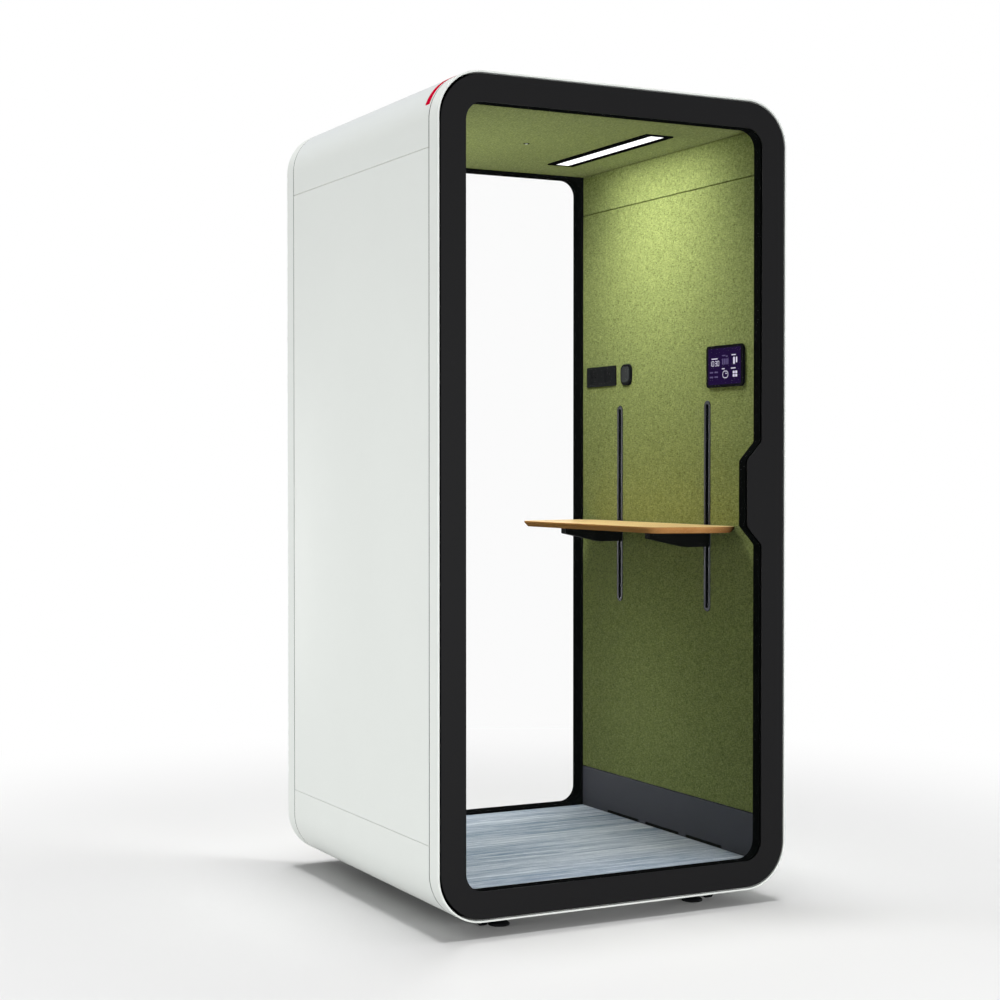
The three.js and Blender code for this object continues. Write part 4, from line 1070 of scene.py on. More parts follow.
class Workshop:
    """Turns forms into pieces that ride on the frame and stand for its nodes."""

    def __init__(self, frame: Mapping[str, Any]) -> None:
        """Keep the frame's nodes and where each of them rides.

        Args:
            frame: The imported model, as it was loaded.
        """
        self.nodes: Mapping[str, bpy.types.Object] = frame["nodes"]
        bodies = frame["record"]["behaviour"]["bodies"]
        self.homes = {node: body for body, nodes in bodies.items() for node in nodes}
        self.materials: dict[Finish, bpy.types.Material] = {}
        self.row = RowTree()
        self.ring = RingTree()

    def material(self, finish: Finish) -> bpy.types.Material:
        """Mix a finish the first time that it is asked for.

        Args:
            finish: The finish.

        Returns:
            Its material.
        """
        if finish not in self.materials:
            self.materials[finish] = finish.material()
        return self.materials[finish]

    def detail(
        self, shape: Union[Form, bpy.types.Mesh], name: str, body: str, *finishes: Finish
    ) -> bpy.types.Object:
        """Make a piece, paint it and set it on its body.

        Args:
            shape: Form or finished mesh.
            name: Name of the piece.
            body: Body that it rides on.
            finishes: Finishes of the piece's material slots.

        Returns:
            The piece.
        """
        item = linked(name, shape.finished(name) if isinstance(shape, Form) else shape)
        for finish in finishes:
            item.data.materials.append(self.material(finish))
        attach(item, body)
        LOG.info("%s: %d faces on %s", name, len(item.data.polygons), body)
        return item

    def stand_in(self, shape: Union[Form, bpy.types.Mesh], node: str, *finishes: Finish) -> None:
        """Make a piece that is shown in place of a node."""
        item = self.detail(shape, f"dressed_{node}", self.homes[node], *finishes)
        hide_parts(node)

    def softened(self, node: str, finish: Finish, edge: float) -> None:
        """Show a copy of a node whose edges are rounded.

        Args:
            node: Name of the node.
            finish: Finish of the piece.
            edge: Radius of the edges.
        """
        working = bmesh.new()
        working.from_mesh(self.nodes[node].data)
        bmesh.ops.remove_doubles(working, verts=working.verts[:], dist=1e-5)
        bmesh.ops.dissolve_limit(
            working, angle_limit=math.radians(1.0), verts=working.verts[:], edges=working.edges[:])
        limit = math.radians(SHARP)
        sharp = [e for e in working.edges if e.is_manifold and e.calc_face_angle(0.0) > limit]
        bmesh.ops.bevel(
            working, geom=sharp, offset=edge * MM, segments=2, profile=0.5,
            affect="EDGES", clamp_overlap=True)
        self.stand_in(crisp(working, node, sharp=50.0), node, finish)

    def coat(self, node: str, finish: Finish) -> None:
        """Keep a node as it is and give it a finish.

        Args:
            node: Name of the node.
            finish: Its finish.
        """
        materials = self.nodes[node].data.materials
        materials.clear()
        materials.append(self.material(finish))
        LOG.info("%s: kept, in %s", node, finish.name)

    def in_row(
        self, piece: bpy.types.Mesh, finish: Finish, count: int, middle: Corner, pitch: float
    ) -> bpy.types.Mesh:
        """Repeat a piece along Y.

        Args:
            piece: Mesh of one copy.
            finish: Finish of the copies.
            count: How many there are.
            middle: Middle of the row.
            pitch: Distance from copy to copy.

        Returns:
            One mesh of all the copies.
        """
        step = Vector((0.0, pitch, 0.0)) * MM
        start = Vector(middle) * MM - step * ((count - 1) / 2)
        values = {"Count": count, "Start": start, "Step": step}
        return self.row.grow(piece, self.material(finish), values)

    def in_ring(
        self, piece: bpy.types.Mesh, finish: Finish, count: int, centre: Corner
    ) -> bpy.types.Mesh:
        """Repeat a piece about an upright axis through a point."""
        values = {"Count": count, "Centre": Vector(centre) * MM, "Turn": 2 * math.pi / count}
        return self.ring.grow(piece, self.material(finish), values)


@dataclass(frozen=True)
class Plan:
    """Sizes and places that several sub-assemblies share."""

    side: float = 555.0
    bottom: float = 42.0
    top: float = 2300.0
    corner: float = 132.0
    front: float = -550.0
    back: float = 550.0
    rim: float = 5.0
    ring_depth: float = 53.0
    opening: float = 83.0
    opening_radius: float = 52.0
    glass_inset: float = 65.0
    glass: float = 8.0
    bezel: float = 3.0
    wall: float = 480.0
    inner_half: float = 496.7
    ceiling: float = 2225.0
    foot: Point = (314.0, 431.0)
    roller: Point = (366.0, 431.0)
    fan: Point = (-250.0, 180.0)
    vent: Corner = (150.0, 150.0, 8.0)
    lamp_x: float = 283.0
    lamp_tray: Point = (84.0, 592.0)
    rails: tuple[tuple[str, float], ...] = (("front", -255.0), ("rear", 255.0))
    rail_z: float = 1136.0
    rail_size: Point = (34.0, 634.0)
    unit_z: float = 1552.0
    socket_y: float = 371.0
    socket_box: Corner = (171.0, 50.0, 5.0)
    switch_y: float = 212.0
    switch_box: Corner = (64.0, 67.0, 22.0)
    screen_y: float = -357.5
    screen_box: Corner = (186.0, 116.0, 11.0)

    def outline(
        self, inset: float, radius: Optional[float] = None, left: Optional[float] = None
    ) -> Outline:
        """Rounded outline at a distance inside the shell.

        Args:
            inset: Distance inside the shell.
            radius: Radius of the corners, by default parallel to the shell.
            left: Radius of the left corners, by default the same.

        Returns:
            The outline, seen from the front.
        """
        turn = self.corner - inset if radius is None else radius
        hinge = turn if left is None else left
        wide, low, high = self.side - inset, self.bottom + inset, self.top - inset
        corners = [(-wide, low, hinge), (wide, low, turn), (wide, high, turn), (-wide, high, hinge)]
        return filleted(corners, step=3.0)


@dataclass
class Assembly(ABC):
    """Sub-assembly of the pod, built in a workshop to the shared plan."""

    shop: Workshop
    plan: Plan

    @abstractmethod
    def build(self) -> None:
        """Build and dress every piece of the sub-assembly."""


@dataclass
class Shell(Assembly):
    """White rings and folded skins round the pod, with the status light at a corner."""

    seam: float = 3.0
    skin: float = 2.0
    lower_seam: float = 249.0
    upper_seam: float = 2095.0
    seam_half: float = 0.8
    panel_reach: Span = (0.75, 0.35)
    panel_return: float = 20.0
    panel_bend: float = 1.2
    flange_tip: float = 492.3
    flange_bend: float = 0.8
    cut_over: float = 2.0
    foot_hole: float = 11.0
    roller_slot: Corner = (32.0, 46.0, 1.0)
    inlet: Point = (60.0, 330.0)
    inlet_size: Corner = (50.0, 34.0, 0.7)
    status_span: Span = (109.0, 161.0)
    status_steps: int = 24
    status_slack: float = 0.15
    status_setback: float = 9.0
    status_width: float = 25.0
    status_proud: float = 0.8
    # Black strips in the seams behind the rings, painted shade: how far below the skin they lie,
    # and how far in they reach.
    shade_strip_drop: float = 0.1
    shade_strip_depth: float = 4.0

    def build(self) -> None:
        """Build the rings, the black strips of painted shade in their seams, the skins and the
        status light.
        """
        self._rings()
        self._seam_shade_strips()
        self._wraps()
        self._panels()
        self._status()
        for node in ("left_wall_core", "right_wall_core", "roof_core"):
            self.shop.coat(node, INSULATION)

    def _ends(self) -> Span:
        """Front and rear end of the skins."""
        reach = self.plan.ring_depth + self.seam
        return (self.plan.front + reach, self.plan.back - reach)

    def _status_ends(self) -> Span:
        """Front and rear edge of the status light."""
        start = self._ends()[0] + self.status_setback
        return (start, start + self.status_width)

    def _rings(self) -> None:
        """Build the two rings, rounded at their outer edges."""
        p = self.plan
        front, rear = (p.front, p.front + p.ring_depth), (p.back - p.ring_depth, p.back)
        for node, span in (("front_ring", front), ("rear_ring", rear)):
            ring = Form().plate(Axis.Y, p.outline(0), span, [p.outline(p.rim)], EASED, EASED)
            self.shop.stand_in(ring, node, WHITE_PAINT)

    def _seam_shade_strips(self) -> None:
        """Fill the seams behind the rings with black strips that lie a little below the skin:
        painted shade in the seams.
        """
        p = self.plan
        outer, inner = p.outline(self.shade_strip_drop), p.outline(self.shade_strip_drop + self.shade_strip_depth)
        for name, start in (("front", p.front + p.ring_depth), ("rear", self._ends()[1])):
            span = (start + FIT, start + self.seam - FIT)
            seal = Form().plate(Axis.Y, outer, span, [inner], HAIR, HAIR)
            self.shop.detail(seal, f"{name}_seam_seal", "pod", BLACK_RUBBER)

    def _wrap(self, edge: float, flange: float) -> Form:
        """Folded skin that wraps the base or the roof.

        Args:
            edge: Height of the outer face.
            flange: Height of the flanges at its ends.

        Returns:
            The form of the skin.
        """
        side, corner, tip = self.plan.side, self.plan.corner, self.flange_tip
        inwards = math.copysign(self.skin, flange - edge)
        inner, turn = side - self.skin, corner - self.skin
        half = [
            (side, edge, corner), (side, flange, self.flange_bend), (tip, flange, 0),
            (tip, flange - inwards, 0), (inner, flange - inwards, 0), (inner, edge + inwards, turn),
        ]
        other = [(-u, v, radius) for u, v, radius in reversed(half)]
        outline, fold = filleted(half + other, step=3.0), round_edge(0.7, steps=2)
        return Form().plate(Axis.Y, outline, self._ends(), near=fold, far=fold)

    def _corner_arc(self, inner: float, outer: float, slack: float = 0.0) -> Outline:
        """Strip of the shell's upper left corner.

        Args:
            inner: Inner radius.
            outer: Outer radius.
            slack: Degrees added at both ends.

        Returns:
            The outline of the strip.
        """
        p, steps = self.plan, self.status_steps
        first, last = self.status_span[0] - slack, self.status_span[1] + slack
        turns = [math.radians(first + (last - first) * i / steps) for i in range(steps + 1)]
        spots = [(outer, turn) for turn in turns] + [(inner, turn) for turn in reversed(turns)]
        u, v = p.corner - p.side, p.top - p.corner
        return [(u + r * math.cos(turn), v + r * math.sin(turn)) for r, turn in spots]

    def _wraps(self) -> None:
        """Build the base with its holes for feet and rollers, and the roof with its own."""
        p, over = self.plan, self.cut_over
        under, above = Form(), Form()
        low = (p.bottom - over, p.bottom + self.skin + over)
        high = (p.top - self.skin - over, p.top + over)
        for x in (-1, 1):
            for y in (-1, 1):
                under.plate(Axis.Z, circle(x * p.foot[0], y * p.foot[1], self.foot_hole), low)
                slot = rounded(x * p.roller[0], y * p.roller[1], *self.roller_slot)
                under.plate(Axis.Z, slot, low)
        above.plate(Axis.Z, fitted(*p.fan, *p.vent), high)
        above.plate(Axis.Z, fitted(*self.inlet, *self.inlet_size), high)
        radii = (p.corner - self.skin - over / 2, p.corner + over / 2)
        near, far = self._status_ends()
        above.plate(Axis.Y, self._corner_arc(*radii, self.status_slack), (near - FIT, far + FIT))
        base = self._wrap(p.bottom, self.lower_seam - self.seam_half)
        roof = self._wrap(p.top, self.upper_seam + self.seam_half)
        self.shop.stand_in(base.carved(under, "base_shell"), "base_shell", WHITE_PAINT)
        self.shop.stand_in(roof.carved(above, "roof_shell"), "roof_shell", ROOF_PAINT_TOP_SHADED)

    def _panels(self) -> None:
        """Build the two side panels, folded in along their front and rear edges."""
        front, back = self._ends()
        low = self.lower_seam + self.seam_half - self.panel_reach[0]
        high = self.upper_seam - self.seam_half + self.panel_reach[1]
        for name, side in SIDES:
            outer, fold, inner = (
                side * (self.plan.side - depth) for depth in (0.0, self.panel_return, self.skin))
            outline = filleted([
                (outer, front, self.panel_bend), (outer, back, self.panel_bend),
                (fold, back, 0), (fold, back - self.skin, 0),
                (inner, back - self.skin, 0), (inner, front + self.skin, 0),
                (fold, front + self.skin, 0), (fold, front, 0),
            ], step=22.5)
            panel = Form().plate(Axis.Z, outline, (low, high), near=HAIR, far=FINE)
            self.shop.stand_in(panel, f"{name}_outer_panel", WHITE_PAINT)

    def _status(self) -> None:
        """Build the red strip that is let into the roof's corner behind the front ring."""
        corner = self.plan.corner
        strip = self._corner_arc(corner - self.skin, corner + self.status_proud)
        light = Form().plate(Axis.Y, strip, self._status_ends(), near=SLIM, far=SLIM)
        self.shop.stand_in(light, "status_light", RED_LIGHT)


@dataclass
class Door(Assembly):
    """Glazed leaf on two pins, with its seal, its pull, and the fittings that it shuts on."""

    leaf_inset: float = 9.0
    leaf_depth: float = 44.0
    hinge_radius: float = 131.0
    hinge: Point = (-528.0, -546.5)
    hinge_heights: Span = (292.0, 2050.0)
    pin: float = 2.5
    pin_half: float = 37.0
    notch_half: float = 19.0
    notch_reach: float = 7.0
    notch_over: float = 20.0
    notch_y: float = -526.0
    notch_radius: float = 1.0
    notch_depth: float = 60.0
    lock_reach: float = 50.0
    lock_half: float = 148.0
    lock_slope: float = 54.0
    lock_fillet: float = 16.0
    lock_z: float = 1178.0
    gasket: Span = (58.0, 70.0)
    jamb: Span = (-501.0, -497.0)
    jamb_inset: float = 75.0
    pull_half: float = 90.0
    pull_reach: float = 38.0
    pull_bar: float = 12.0
    pull_width: float = 16.0
    pull_radius: float = 14.0

    def build(self) -> None:
        """Build the leaf, its fittings and the jamb."""
        self._leaf()
        self._trim()
        for node in ("hinge_arm_top", "hinge_arm_bottom"):
            self.shop.softened(node, STEEL, 0.5)
        self.shop.softened("catch_magnet", BLACK_PLASTIC, 0.8)

    def opening(self) -> Outline:
        """Clear opening, with the wide spot for the lock half way up the right edge.

        Returns:
            The outline, seen from the front.
        """
        p, soft = self.plan, self.lock_fillet
        side, low, high = p.side - p.opening, p.bottom + p.opening, p.top - p.opening
        bay, turn = side - self.lock_reach, p.opening_radius
        below, above = self.lock_z - self.lock_half, self.lock_z + self.lock_half
        return filleted([
            (-side, low, turn), (side, low, turn),
            (side, below, soft), (bay, below + self.lock_slope, soft),
            (bay, above - self.lock_slope, soft), (side, above, soft),
            (side, high, turn), (-side, high, turn),
        ], step=4.0)

    def _leaf(self) -> None:
        """Build the bezel, the frame behind it and the pane between them."""
        p, hole = self.plan, [self.opening()]
        edge = p.outline(self.leaf_inset, left=self.hinge_radius)
        rebate = [p.outline(p.glass_inset - FIT)]
        face, back = p.front + p.bezel, p.front + self.leaf_depth
        near, far = face + FIT, face + FIT + p.glass
        bezel = Form().plate(Axis.Y, edge, (p.front, face), hole, SOFT, HAIR)
        frame = Form().plate(Axis.Y, edge, (near, far + FIT - SPLIT), rebate)
        frame.plate(Axis.Y, edge, (far + FIT, back), hole, SQUARE, FULL)
        notches, bores = Form(), Form()
        left, right = -p.side - self.notch_over, self.hinge[0] + self.notch_reach
        for z in self.hinge_heights:
            middle, size = (right + left) / 2, (right - left, self.notch_depth)
            notch = rounded(middle, self.notch_y, *size, self.notch_radius)
            notches.plate(Axis.Z, notch, (z - self.notch_half, z + self.notch_half))
            pin = circle(*self.hinge, self.pin, count=24)
            for form in (notches, bores):
                form.plate(Axis.Z, pin, (z - self.pin_half, z + self.pin_half))
        self.shop.stand_in(bezel.carved(bores, "door_bezel"), "door_bezel", BLACK_FRAME)
        # The frame behind the bezel takes the darker copy of the frame black: painted shade in the
        # door's reveal.
        self.shop.stand_in(frame.carved(notches, "door_frame"), "door_frame", BLACK_FRAME_SHADED)
        pane = Form().plate(
            Axis.Y, p.outline(p.glass_inset), (near, far), near=GROUND, far=GROUND)
        self.shop.stand_in(pane, "door_glass", GLASS)

    def _trim(self) -> None:
        """Build the seal, the pull and the jamb plate."""
        p, lip, grip = self.plan, round_edge(1.8, steps=4), round_edge(3.0, steps=4)
        near, far = p.front + self.leaf_depth + FIT, p.front + self.leaf_depth + self.pull_reach
        outer, inner = (p.outline(inset) for inset in self.gasket)
        seal = Form().plate(Axis.Y, outer, (near, self.jamb[0] - FIT), [inner], lip, lip)
        self.shop.stand_in(seal, "door_gasket", BLACK_RUBBER)
        low, high = self.lock_z - self.pull_half, self.lock_z + self.pull_half
        bar, turn = self.pull_bar, self.pull_radius
        small, right = turn - bar, p.side - p.opening
        pull = Form().plate(Axis.X, filleted([
            (near, low, 0), (far, low, turn), (far, high, turn), (near, high, 0),
            (near, high - bar, 0), (far - bar, high - bar, small),
            (far - bar, low + bar, small), (near, low + bar, 0),
        ]), (right - self.pull_width, right), near=grip, far=grip)
        self.shop.stand_in(pull, "door_pull", BLACK_STEEL)
        outer, inner = p.outline(p.rim + FIT), p.outline(self.jamb_inset)
        jamb = Form().plate(Axis.Y, outer, self.jamb, [inner], FINE, FINE)
        self.shop.stand_in(jamb, "front_jamb", BLACK_FRAME)


@dataclass
class RearWindow(Assembly):
    """Fixed pane in the rear, between a frame and a flat bezel."""

    def build(self) -> None:
        """Build the frame, the bezel and the pane."""
        p, shop = self.plan, self.shop
        edge, hole = p.outline(p.rim + FIT), [p.outline(p.opening, p.opening_radius)]
        face = p.back - p.bezel
        near, far = face - FIT - p.glass, face - FIT
        frame = Form().plate(Axis.Y, edge, (p.back - p.ring_depth, near - FIT), hole, FULL)
        frame.plate(Axis.Y, edge, (near - FIT + SPLIT, far), [p.outline(p.glass_inset - FIT)])
        # The rear frame takes the darker copy of the frame black: painted shade in the window's
        # reveal.
        shop.stand_in(frame, "rear_frame", BLACK_FRAME_SHADED)
        # The bezel's inner face and the walls of its hole take the darker copy of the frame black:
        # painted shade.
        bezel = Form().plate(Axis.Y, edge, (face, p.back), hole, HAIR, SOFT, slots=(1, 1, 0))
        shop.stand_in(bezel, "rear_bezel", BLACK_FRAME, BLACK_FRAME_SHADED)
        pane = Form().plate(
            Axis.Y, p.outline(p.glass_inset), (near, far), near=GROUND, far=GROUND)
        shop.stand_in(pane, "rear_glass", GLASS)


@dataclass
class Lining(Assembly):
    """Green felt on the walls and the ceiling, carpet on the deck and the skirtings."""

    felt: float = 12.0
    panel: Span = (250.0, 2094.0)
    panel_edge: float = 1.6
    header: Span = (2096.0, 2224.7)
    header_edge: float = 2.6
    sensor_hole: float = 6.3
    fan_bore: float = 57.0
    floor: float = 117.0
    carpet: float = 7.0
    pile: float = 1.6
    row: float = 4.0
    skirting: Span = (110.0, 248.2)
    sheet: float = 2.0
    slot: Corner = (197.0, 16.0, 3.0)
    slot_pitch: float = 236.0
    fold_reach: float = 47.0
    fold_drop: Span = (4.3, 2.3)
    cloth: Span = (2.1, 2.9)
    cloth_over: float = 12.0

    def build(self) -> None:
        """Build the felt, the carpet and the skirtings."""
        self._walls()
        self._ceiling()
        self._carpet()
        for name, side in SIDES:
            self._skirting(name, side)
        self.shop.coat("floor_deck", PLYWOOD)

    def _felts(self, kind: str, span: Span, edge: float, holes: Sequence[Outline] = ()) -> None:
        """Build a felt sheet on each side wall.

        Args:
            kind: Last word of the nodes that they stand for.
            span: Lowest and highest edge.
            edge: Radius of their edges.
            holes: Outlines of what is let into the right one.
        """
        p, soft = self.plan, round_edge(edge)
        size = (2 * p.inner_half, span[1] - span[0])
        outline = rounded(0.0, (span[0] + span[1]) / 2, *size, edge + FIT)
        for name, side in SIDES:
            thick, cuts = across(side, p.wall, p.wall + self.felt), holes if side > 0 else ()
            sheet = Form().plate(Axis.X, outline, thick, cuts, soft, soft)
            self.shop.stand_in(sheet, f"{name}_felt_{kind}", WALL_FELT)

    def _walls(self) -> None:
        """Build the wall panels and the header strips above them."""
        p = self.plan
        holes = [fitted(y, p.rail_z, *p.rail_size, p.rail_size[0] / 2) for _, y in p.rails]
        units = ((p.socket_y, p.socket_box), (p.switch_y, p.switch_box), (p.screen_y, p.screen_box))
        holes += [fitted(y, p.unit_z, *box) for y, box in units]
        self._felts("panel", self.panel, self.panel_edge, holes)
        self._felts("header", self.header, self.header_edge)

    def _ceiling(self) -> None:
        """Build the ceiling sheet with its holes."""
        p, soft = self.plan, round_edge(self.panel_edge)
        holes = [
            fitted(p.lamp_x, 0.0, *p.lamp_tray, 0.7),
            circle(0.0, 0.0, self.sensor_hole, count=32),
            circle(*p.fan, self.fan_bore),
        ]
        outline = rounded(0.0, 0.0, 2 * (p.wall + self.felt), 2 * p.inner_half, 1.0)
        span = (p.ceiling, p.ceiling + self.felt)
        sheet = Form().plate(Axis.Z, outline, span, holes, soft, soft)
        self.shop.stand_in(sheet, "ceiling_felt", CEILING_FELT)

    def _carpet(self) -> None:
        """Build the carpet as rows of pile on a backing."""
        half, length = self.plan.wall - FIT, 2 * self.plan.inner_half
        crown, tip, base = self.row / 2, self.pile, self.floor - self.pile
        arch = [
            (-crown, -0.2), (crown, -0.2), (crown * 0.8, tip * 0.7), (0.0, tip),
            (-crown * 0.8, tip * 0.7),
        ]
        rib = Form().plate(Axis.X, arch, (-half, half)).finished("carpet_row", sharp=60.0)
        rows = self.shop.in_row(rib, CARPET, int(length // self.row), (0.0, 0.0, base), self.row)
        backing = rounded(0.0, 0.0, 2 * half, length, 0.5)
        form = Form().plate(Axis.Z, backing, (self.floor - self.carpet, base)).add(rows)
        self.shop.stand_in(form, "carpet", CARPET)

    def _skirting(self, name: str, side: int) -> None:
        """Build a skirting, whose notches at the floor let air in through black cloth.

        Args:
            name: Side of the pod.
            side: 1 on the right, -1 on the left.
        """
        wall, half = self.plan.wall, self.plan.inner_half
        low, high = self.skirting
        wide, tall, turn = self.slot
        corners: list[Corner] = [(-half, low, 0.0)]
        for middle in (-self.slot_pitch, 0.0, self.slot_pitch):
            left, right = middle - wide / 2, middle + wide / 2
            corners += [
                (left, low, 0.0), (left, low + tall, turn),
                (right, low + tall, turn), (right, low, 0.0),
            ]
        corners += [(half, low, 0.0), (half, high, 0.0), (-half, high, 0.0)]
        form = Form().plate(
            Axis.X, filleted(corners), across(side, wall, wall + self.sheet), near=FINE, far=FINE)
        reach = self.fold_reach - self.sheet
        fold = rounded(side * (wall + self.sheet + reach / 2), 0.0, reach, 2 * half, 0.4)
        drop = (high - self.fold_drop[0], high - self.fold_drop[1])
        form.plate(Axis.Z, fold, drop, near=SLIM, far=SLIM)
        cloth = rounded(0.0, low + tall / 2, 3 * self.slot_pitch, tall + self.cloth_over, 1.0)
        thick = across(side, wall + self.cloth[0], wall + self.cloth[1])
        form.plate(Axis.X, cloth, thick, slots=(1, 1, 1))
        self.shop.stand_in(form, f"{name}_skirting", GREY_PAINT, BLACK_RUBBER)


@dataclass
class Desk(Assembly):
    """Oak board on two brackets, whose carriages run in the wall rails."""

    top: float = 1080.0
    thick: float = 18.0
    free: float = 194.0
    root: float = 478.5
    root_half: float = 475.0
    taper: float = 70.0
    free_radius: float = 50.0
    root_radius: float = 75.0
    undercut: float = 12.0
    lip: float = 5.0
    ease: float = 0.4
    bracket_half: float = 16.0
    bracket_root: float = 478.2
    bracket_reach: float = 208.0
    bracket_tip: float = 20.0
    bracket_bend: float = 80.0
    bracket_drop: float = 47.0
    bracket_fillets: Span = (4.0, 10.0)
    rail_face: float = 479.0
    rail_back: float = 522.0
    rail_lip: float = 6.0
    rail_slot: Point = (15.0, 614.0)
    cavity: Point = (26.0, 24.0)

    def build(self) -> None:
        """Build the board, the brackets, the rails and the carriages."""
        self._board()
        for name, y in self.plan.rails:
            self._bracket(name, y)
            self._rail(name, y)
            self.shop.softened(f"desk_carriage_{name}", BLACK_PLASTIC, 0.8)

    def _board(self) -> None:
        """Build the board, with a veneered top and a bevel under its edge."""
        half, free_half = self.root_half, self.root_half - self.taper
        outline = filleted([
            (self.free, -free_half, self.free_radius), (self.root, -half, self.root_radius),
            (self.root, half, self.root_radius), (self.free, free_half, self.free_radius),
        ], step=4.0)
        rise, ease = self.thick - self.lip, self.ease
        under = [
            (self.undercut + 0.6, 0.0), (self.undercut - ease, 0.5), (ease, rise - ease),
            (0.0, rise + ease),
        ]
        span = (self.top - self.thick, self.top)
        board = Form().plate(Axis.Z, outline, span, near=under, far=EASED, slots=(1, 1, 0))
        self.shop.stand_in(board, "desk_top", OAK_TOP, OAK_EDGE)

    def _bracket(self, name: str, y: float) -> None:
        """Build one tapered bracket under the board.

        Args:
            name: Which end of the desk.
            y: Its middle.
        """
        root, high = self.bracket_root, self.top - self.thick - FIT
        tip, bend = root - self.bracket_reach, root - self.bracket_bend
        low = high - self.bracket_drop
        outline = filleted([
            (root, high, 0.0), (tip, high, 0.0),
            (tip, high - self.bracket_tip, self.bracket_fillets[0]),
            (bend, low, self.bracket_fillets[1]), (root, low, 0.0),
        ])
        span = (y - self.bracket_half, y + self.bracket_half)
        bracket = Form().plate(Axis.Y, outline, span, near=EASED, far=EASED)
        self.shop.stand_in(bracket, f"desk_bracket_{name}", BLACK_STEEL)

    def _rail(self, name: str, y: float) -> None:
        """Build one upright rail: a lip with a slot before a wider cavity.

        Args:
            name: Which end of the desk.
            y: Its middle.
        """
        p, dark = self.plan, (1, 1, 1)
        outer = rounded(y, p.rail_z, *p.rail_size, p.rail_size[0] / 2)
        slot = rounded(y, p.rail_z, *self.rail_slot, self.rail_slot[0] / 2)
        cavity = rounded(y, p.rail_z, self.cavity[0], self.rail_slot[1], 1.0)
        lip = self.rail_face + self.rail_lip
        floor = lip + self.cavity[1]
        rail = Form().plate(Axis.X, outer, (self.rail_face, lip), [slot], TRIM)
        rail.plate(Axis.X, outer, (lip, floor), [cavity], slots=dark)
        rail.plate(Axis.X, outer, (floor, self.rail_back), slots=dark)
        self.shop.stand_in(rail, f"desk_rail_{name}", DARK_ALUMINIUM, BLACK_STEEL)


@dataclass
class WallUnits(Assembly):
    """Double socket and push switch side by side on the right wall."""

    socket_size: Corner = (187.0, 66.0, 5.0)
    socket_face: Span = (475.7, 479.7)
    socket_back: float = 520.0
    outlet: Corner = (40.0, 40.0, 6.0)
    outlet_pitch: float = 92.0
    shutter: float = 1.0
    pin_reach: float = 9.5
    pin_radius: float = 2.6
    earth_rise: float = 13.5
    earth: Corner = (5.0, 3.0, 1.0)
    switch_face: float = 474.0
    switch_floor: float = 494.0
    switch_back: float = 498.0
    switch_rim: float = 8.0
    button_gap: float = 0.4
    button: Span = (471.5, 491.1)
    dish: tuple[Point, ...] = ((7.0, 0.9), (4.5, 0.5), (2.4, 0.0), (0.8, 0.35), (0.0, 1.4))

    def build(self) -> None:
        """Build the two units."""
        self._socket()
        self._switch()

    def _socket(self) -> None:
        """Build the socket plate, its two recesses and the pins' holes in them."""
        y, z = self.plan.socket_y, self.plan.unit_z
        near, far = self.socket_face
        wide, tall, turn = self.outlet
        places = [y - self.outlet_pitch / 2, y + self.outlet_pitch / 2]
        holes = [rounded(place, z, *self.outlet) for place in places]
        plate = rounded(y, z, *self.socket_size)
        form = Form().plate(Axis.X, plate, self.socket_face, holes, EASED, HAIR)
        form.plate(Axis.X, rounded(y, z, *self.plan.socket_box), (far, self.socket_back))
        for place in places:
            pins = [
                circle(place - self.pin_reach, z, self.pin_radius, count=20),
                circle(place + self.pin_reach, z, self.pin_radius, count=20),
                rounded(place, z + self.earth_rise, *self.earth),
            ]
            insert = rounded(place, z, wide - 2 * FIT, tall - 2 * FIT, turn - FIT)
            form.plate(Axis.X, insert, (near + self.shutter, far), pins, FINE)
        self.shop.stand_in(form, "socket_panel", BLACK_PLASTIC)

    def _switch(self) -> None:
        """Build the switch's rim and the button in it."""
        outer = rounded(self.plan.switch_y, self.plan.unit_z, *self.plan.switch_box)
        well, cap = (drawn_in(outer, self.switch_rim + gap) for gap in (0.0, self.button_gap))
        span, lip = (self.switch_face, self.switch_floor), round_edge(2.2, steps=4)
        rim = Form().plate(Axis.X, outer, span, [well], lip)
        rim.plate(Axis.X, outer, (self.switch_floor, self.switch_back))
        self.shop.stand_in(rim, "switch_bezel", BLACK_PLASTIC)
        button = Form().plate(Axis.X, cap, self.button, near=self.dish)
        self.shop.stand_in(button, "switch_button", GREY_PLASTIC)


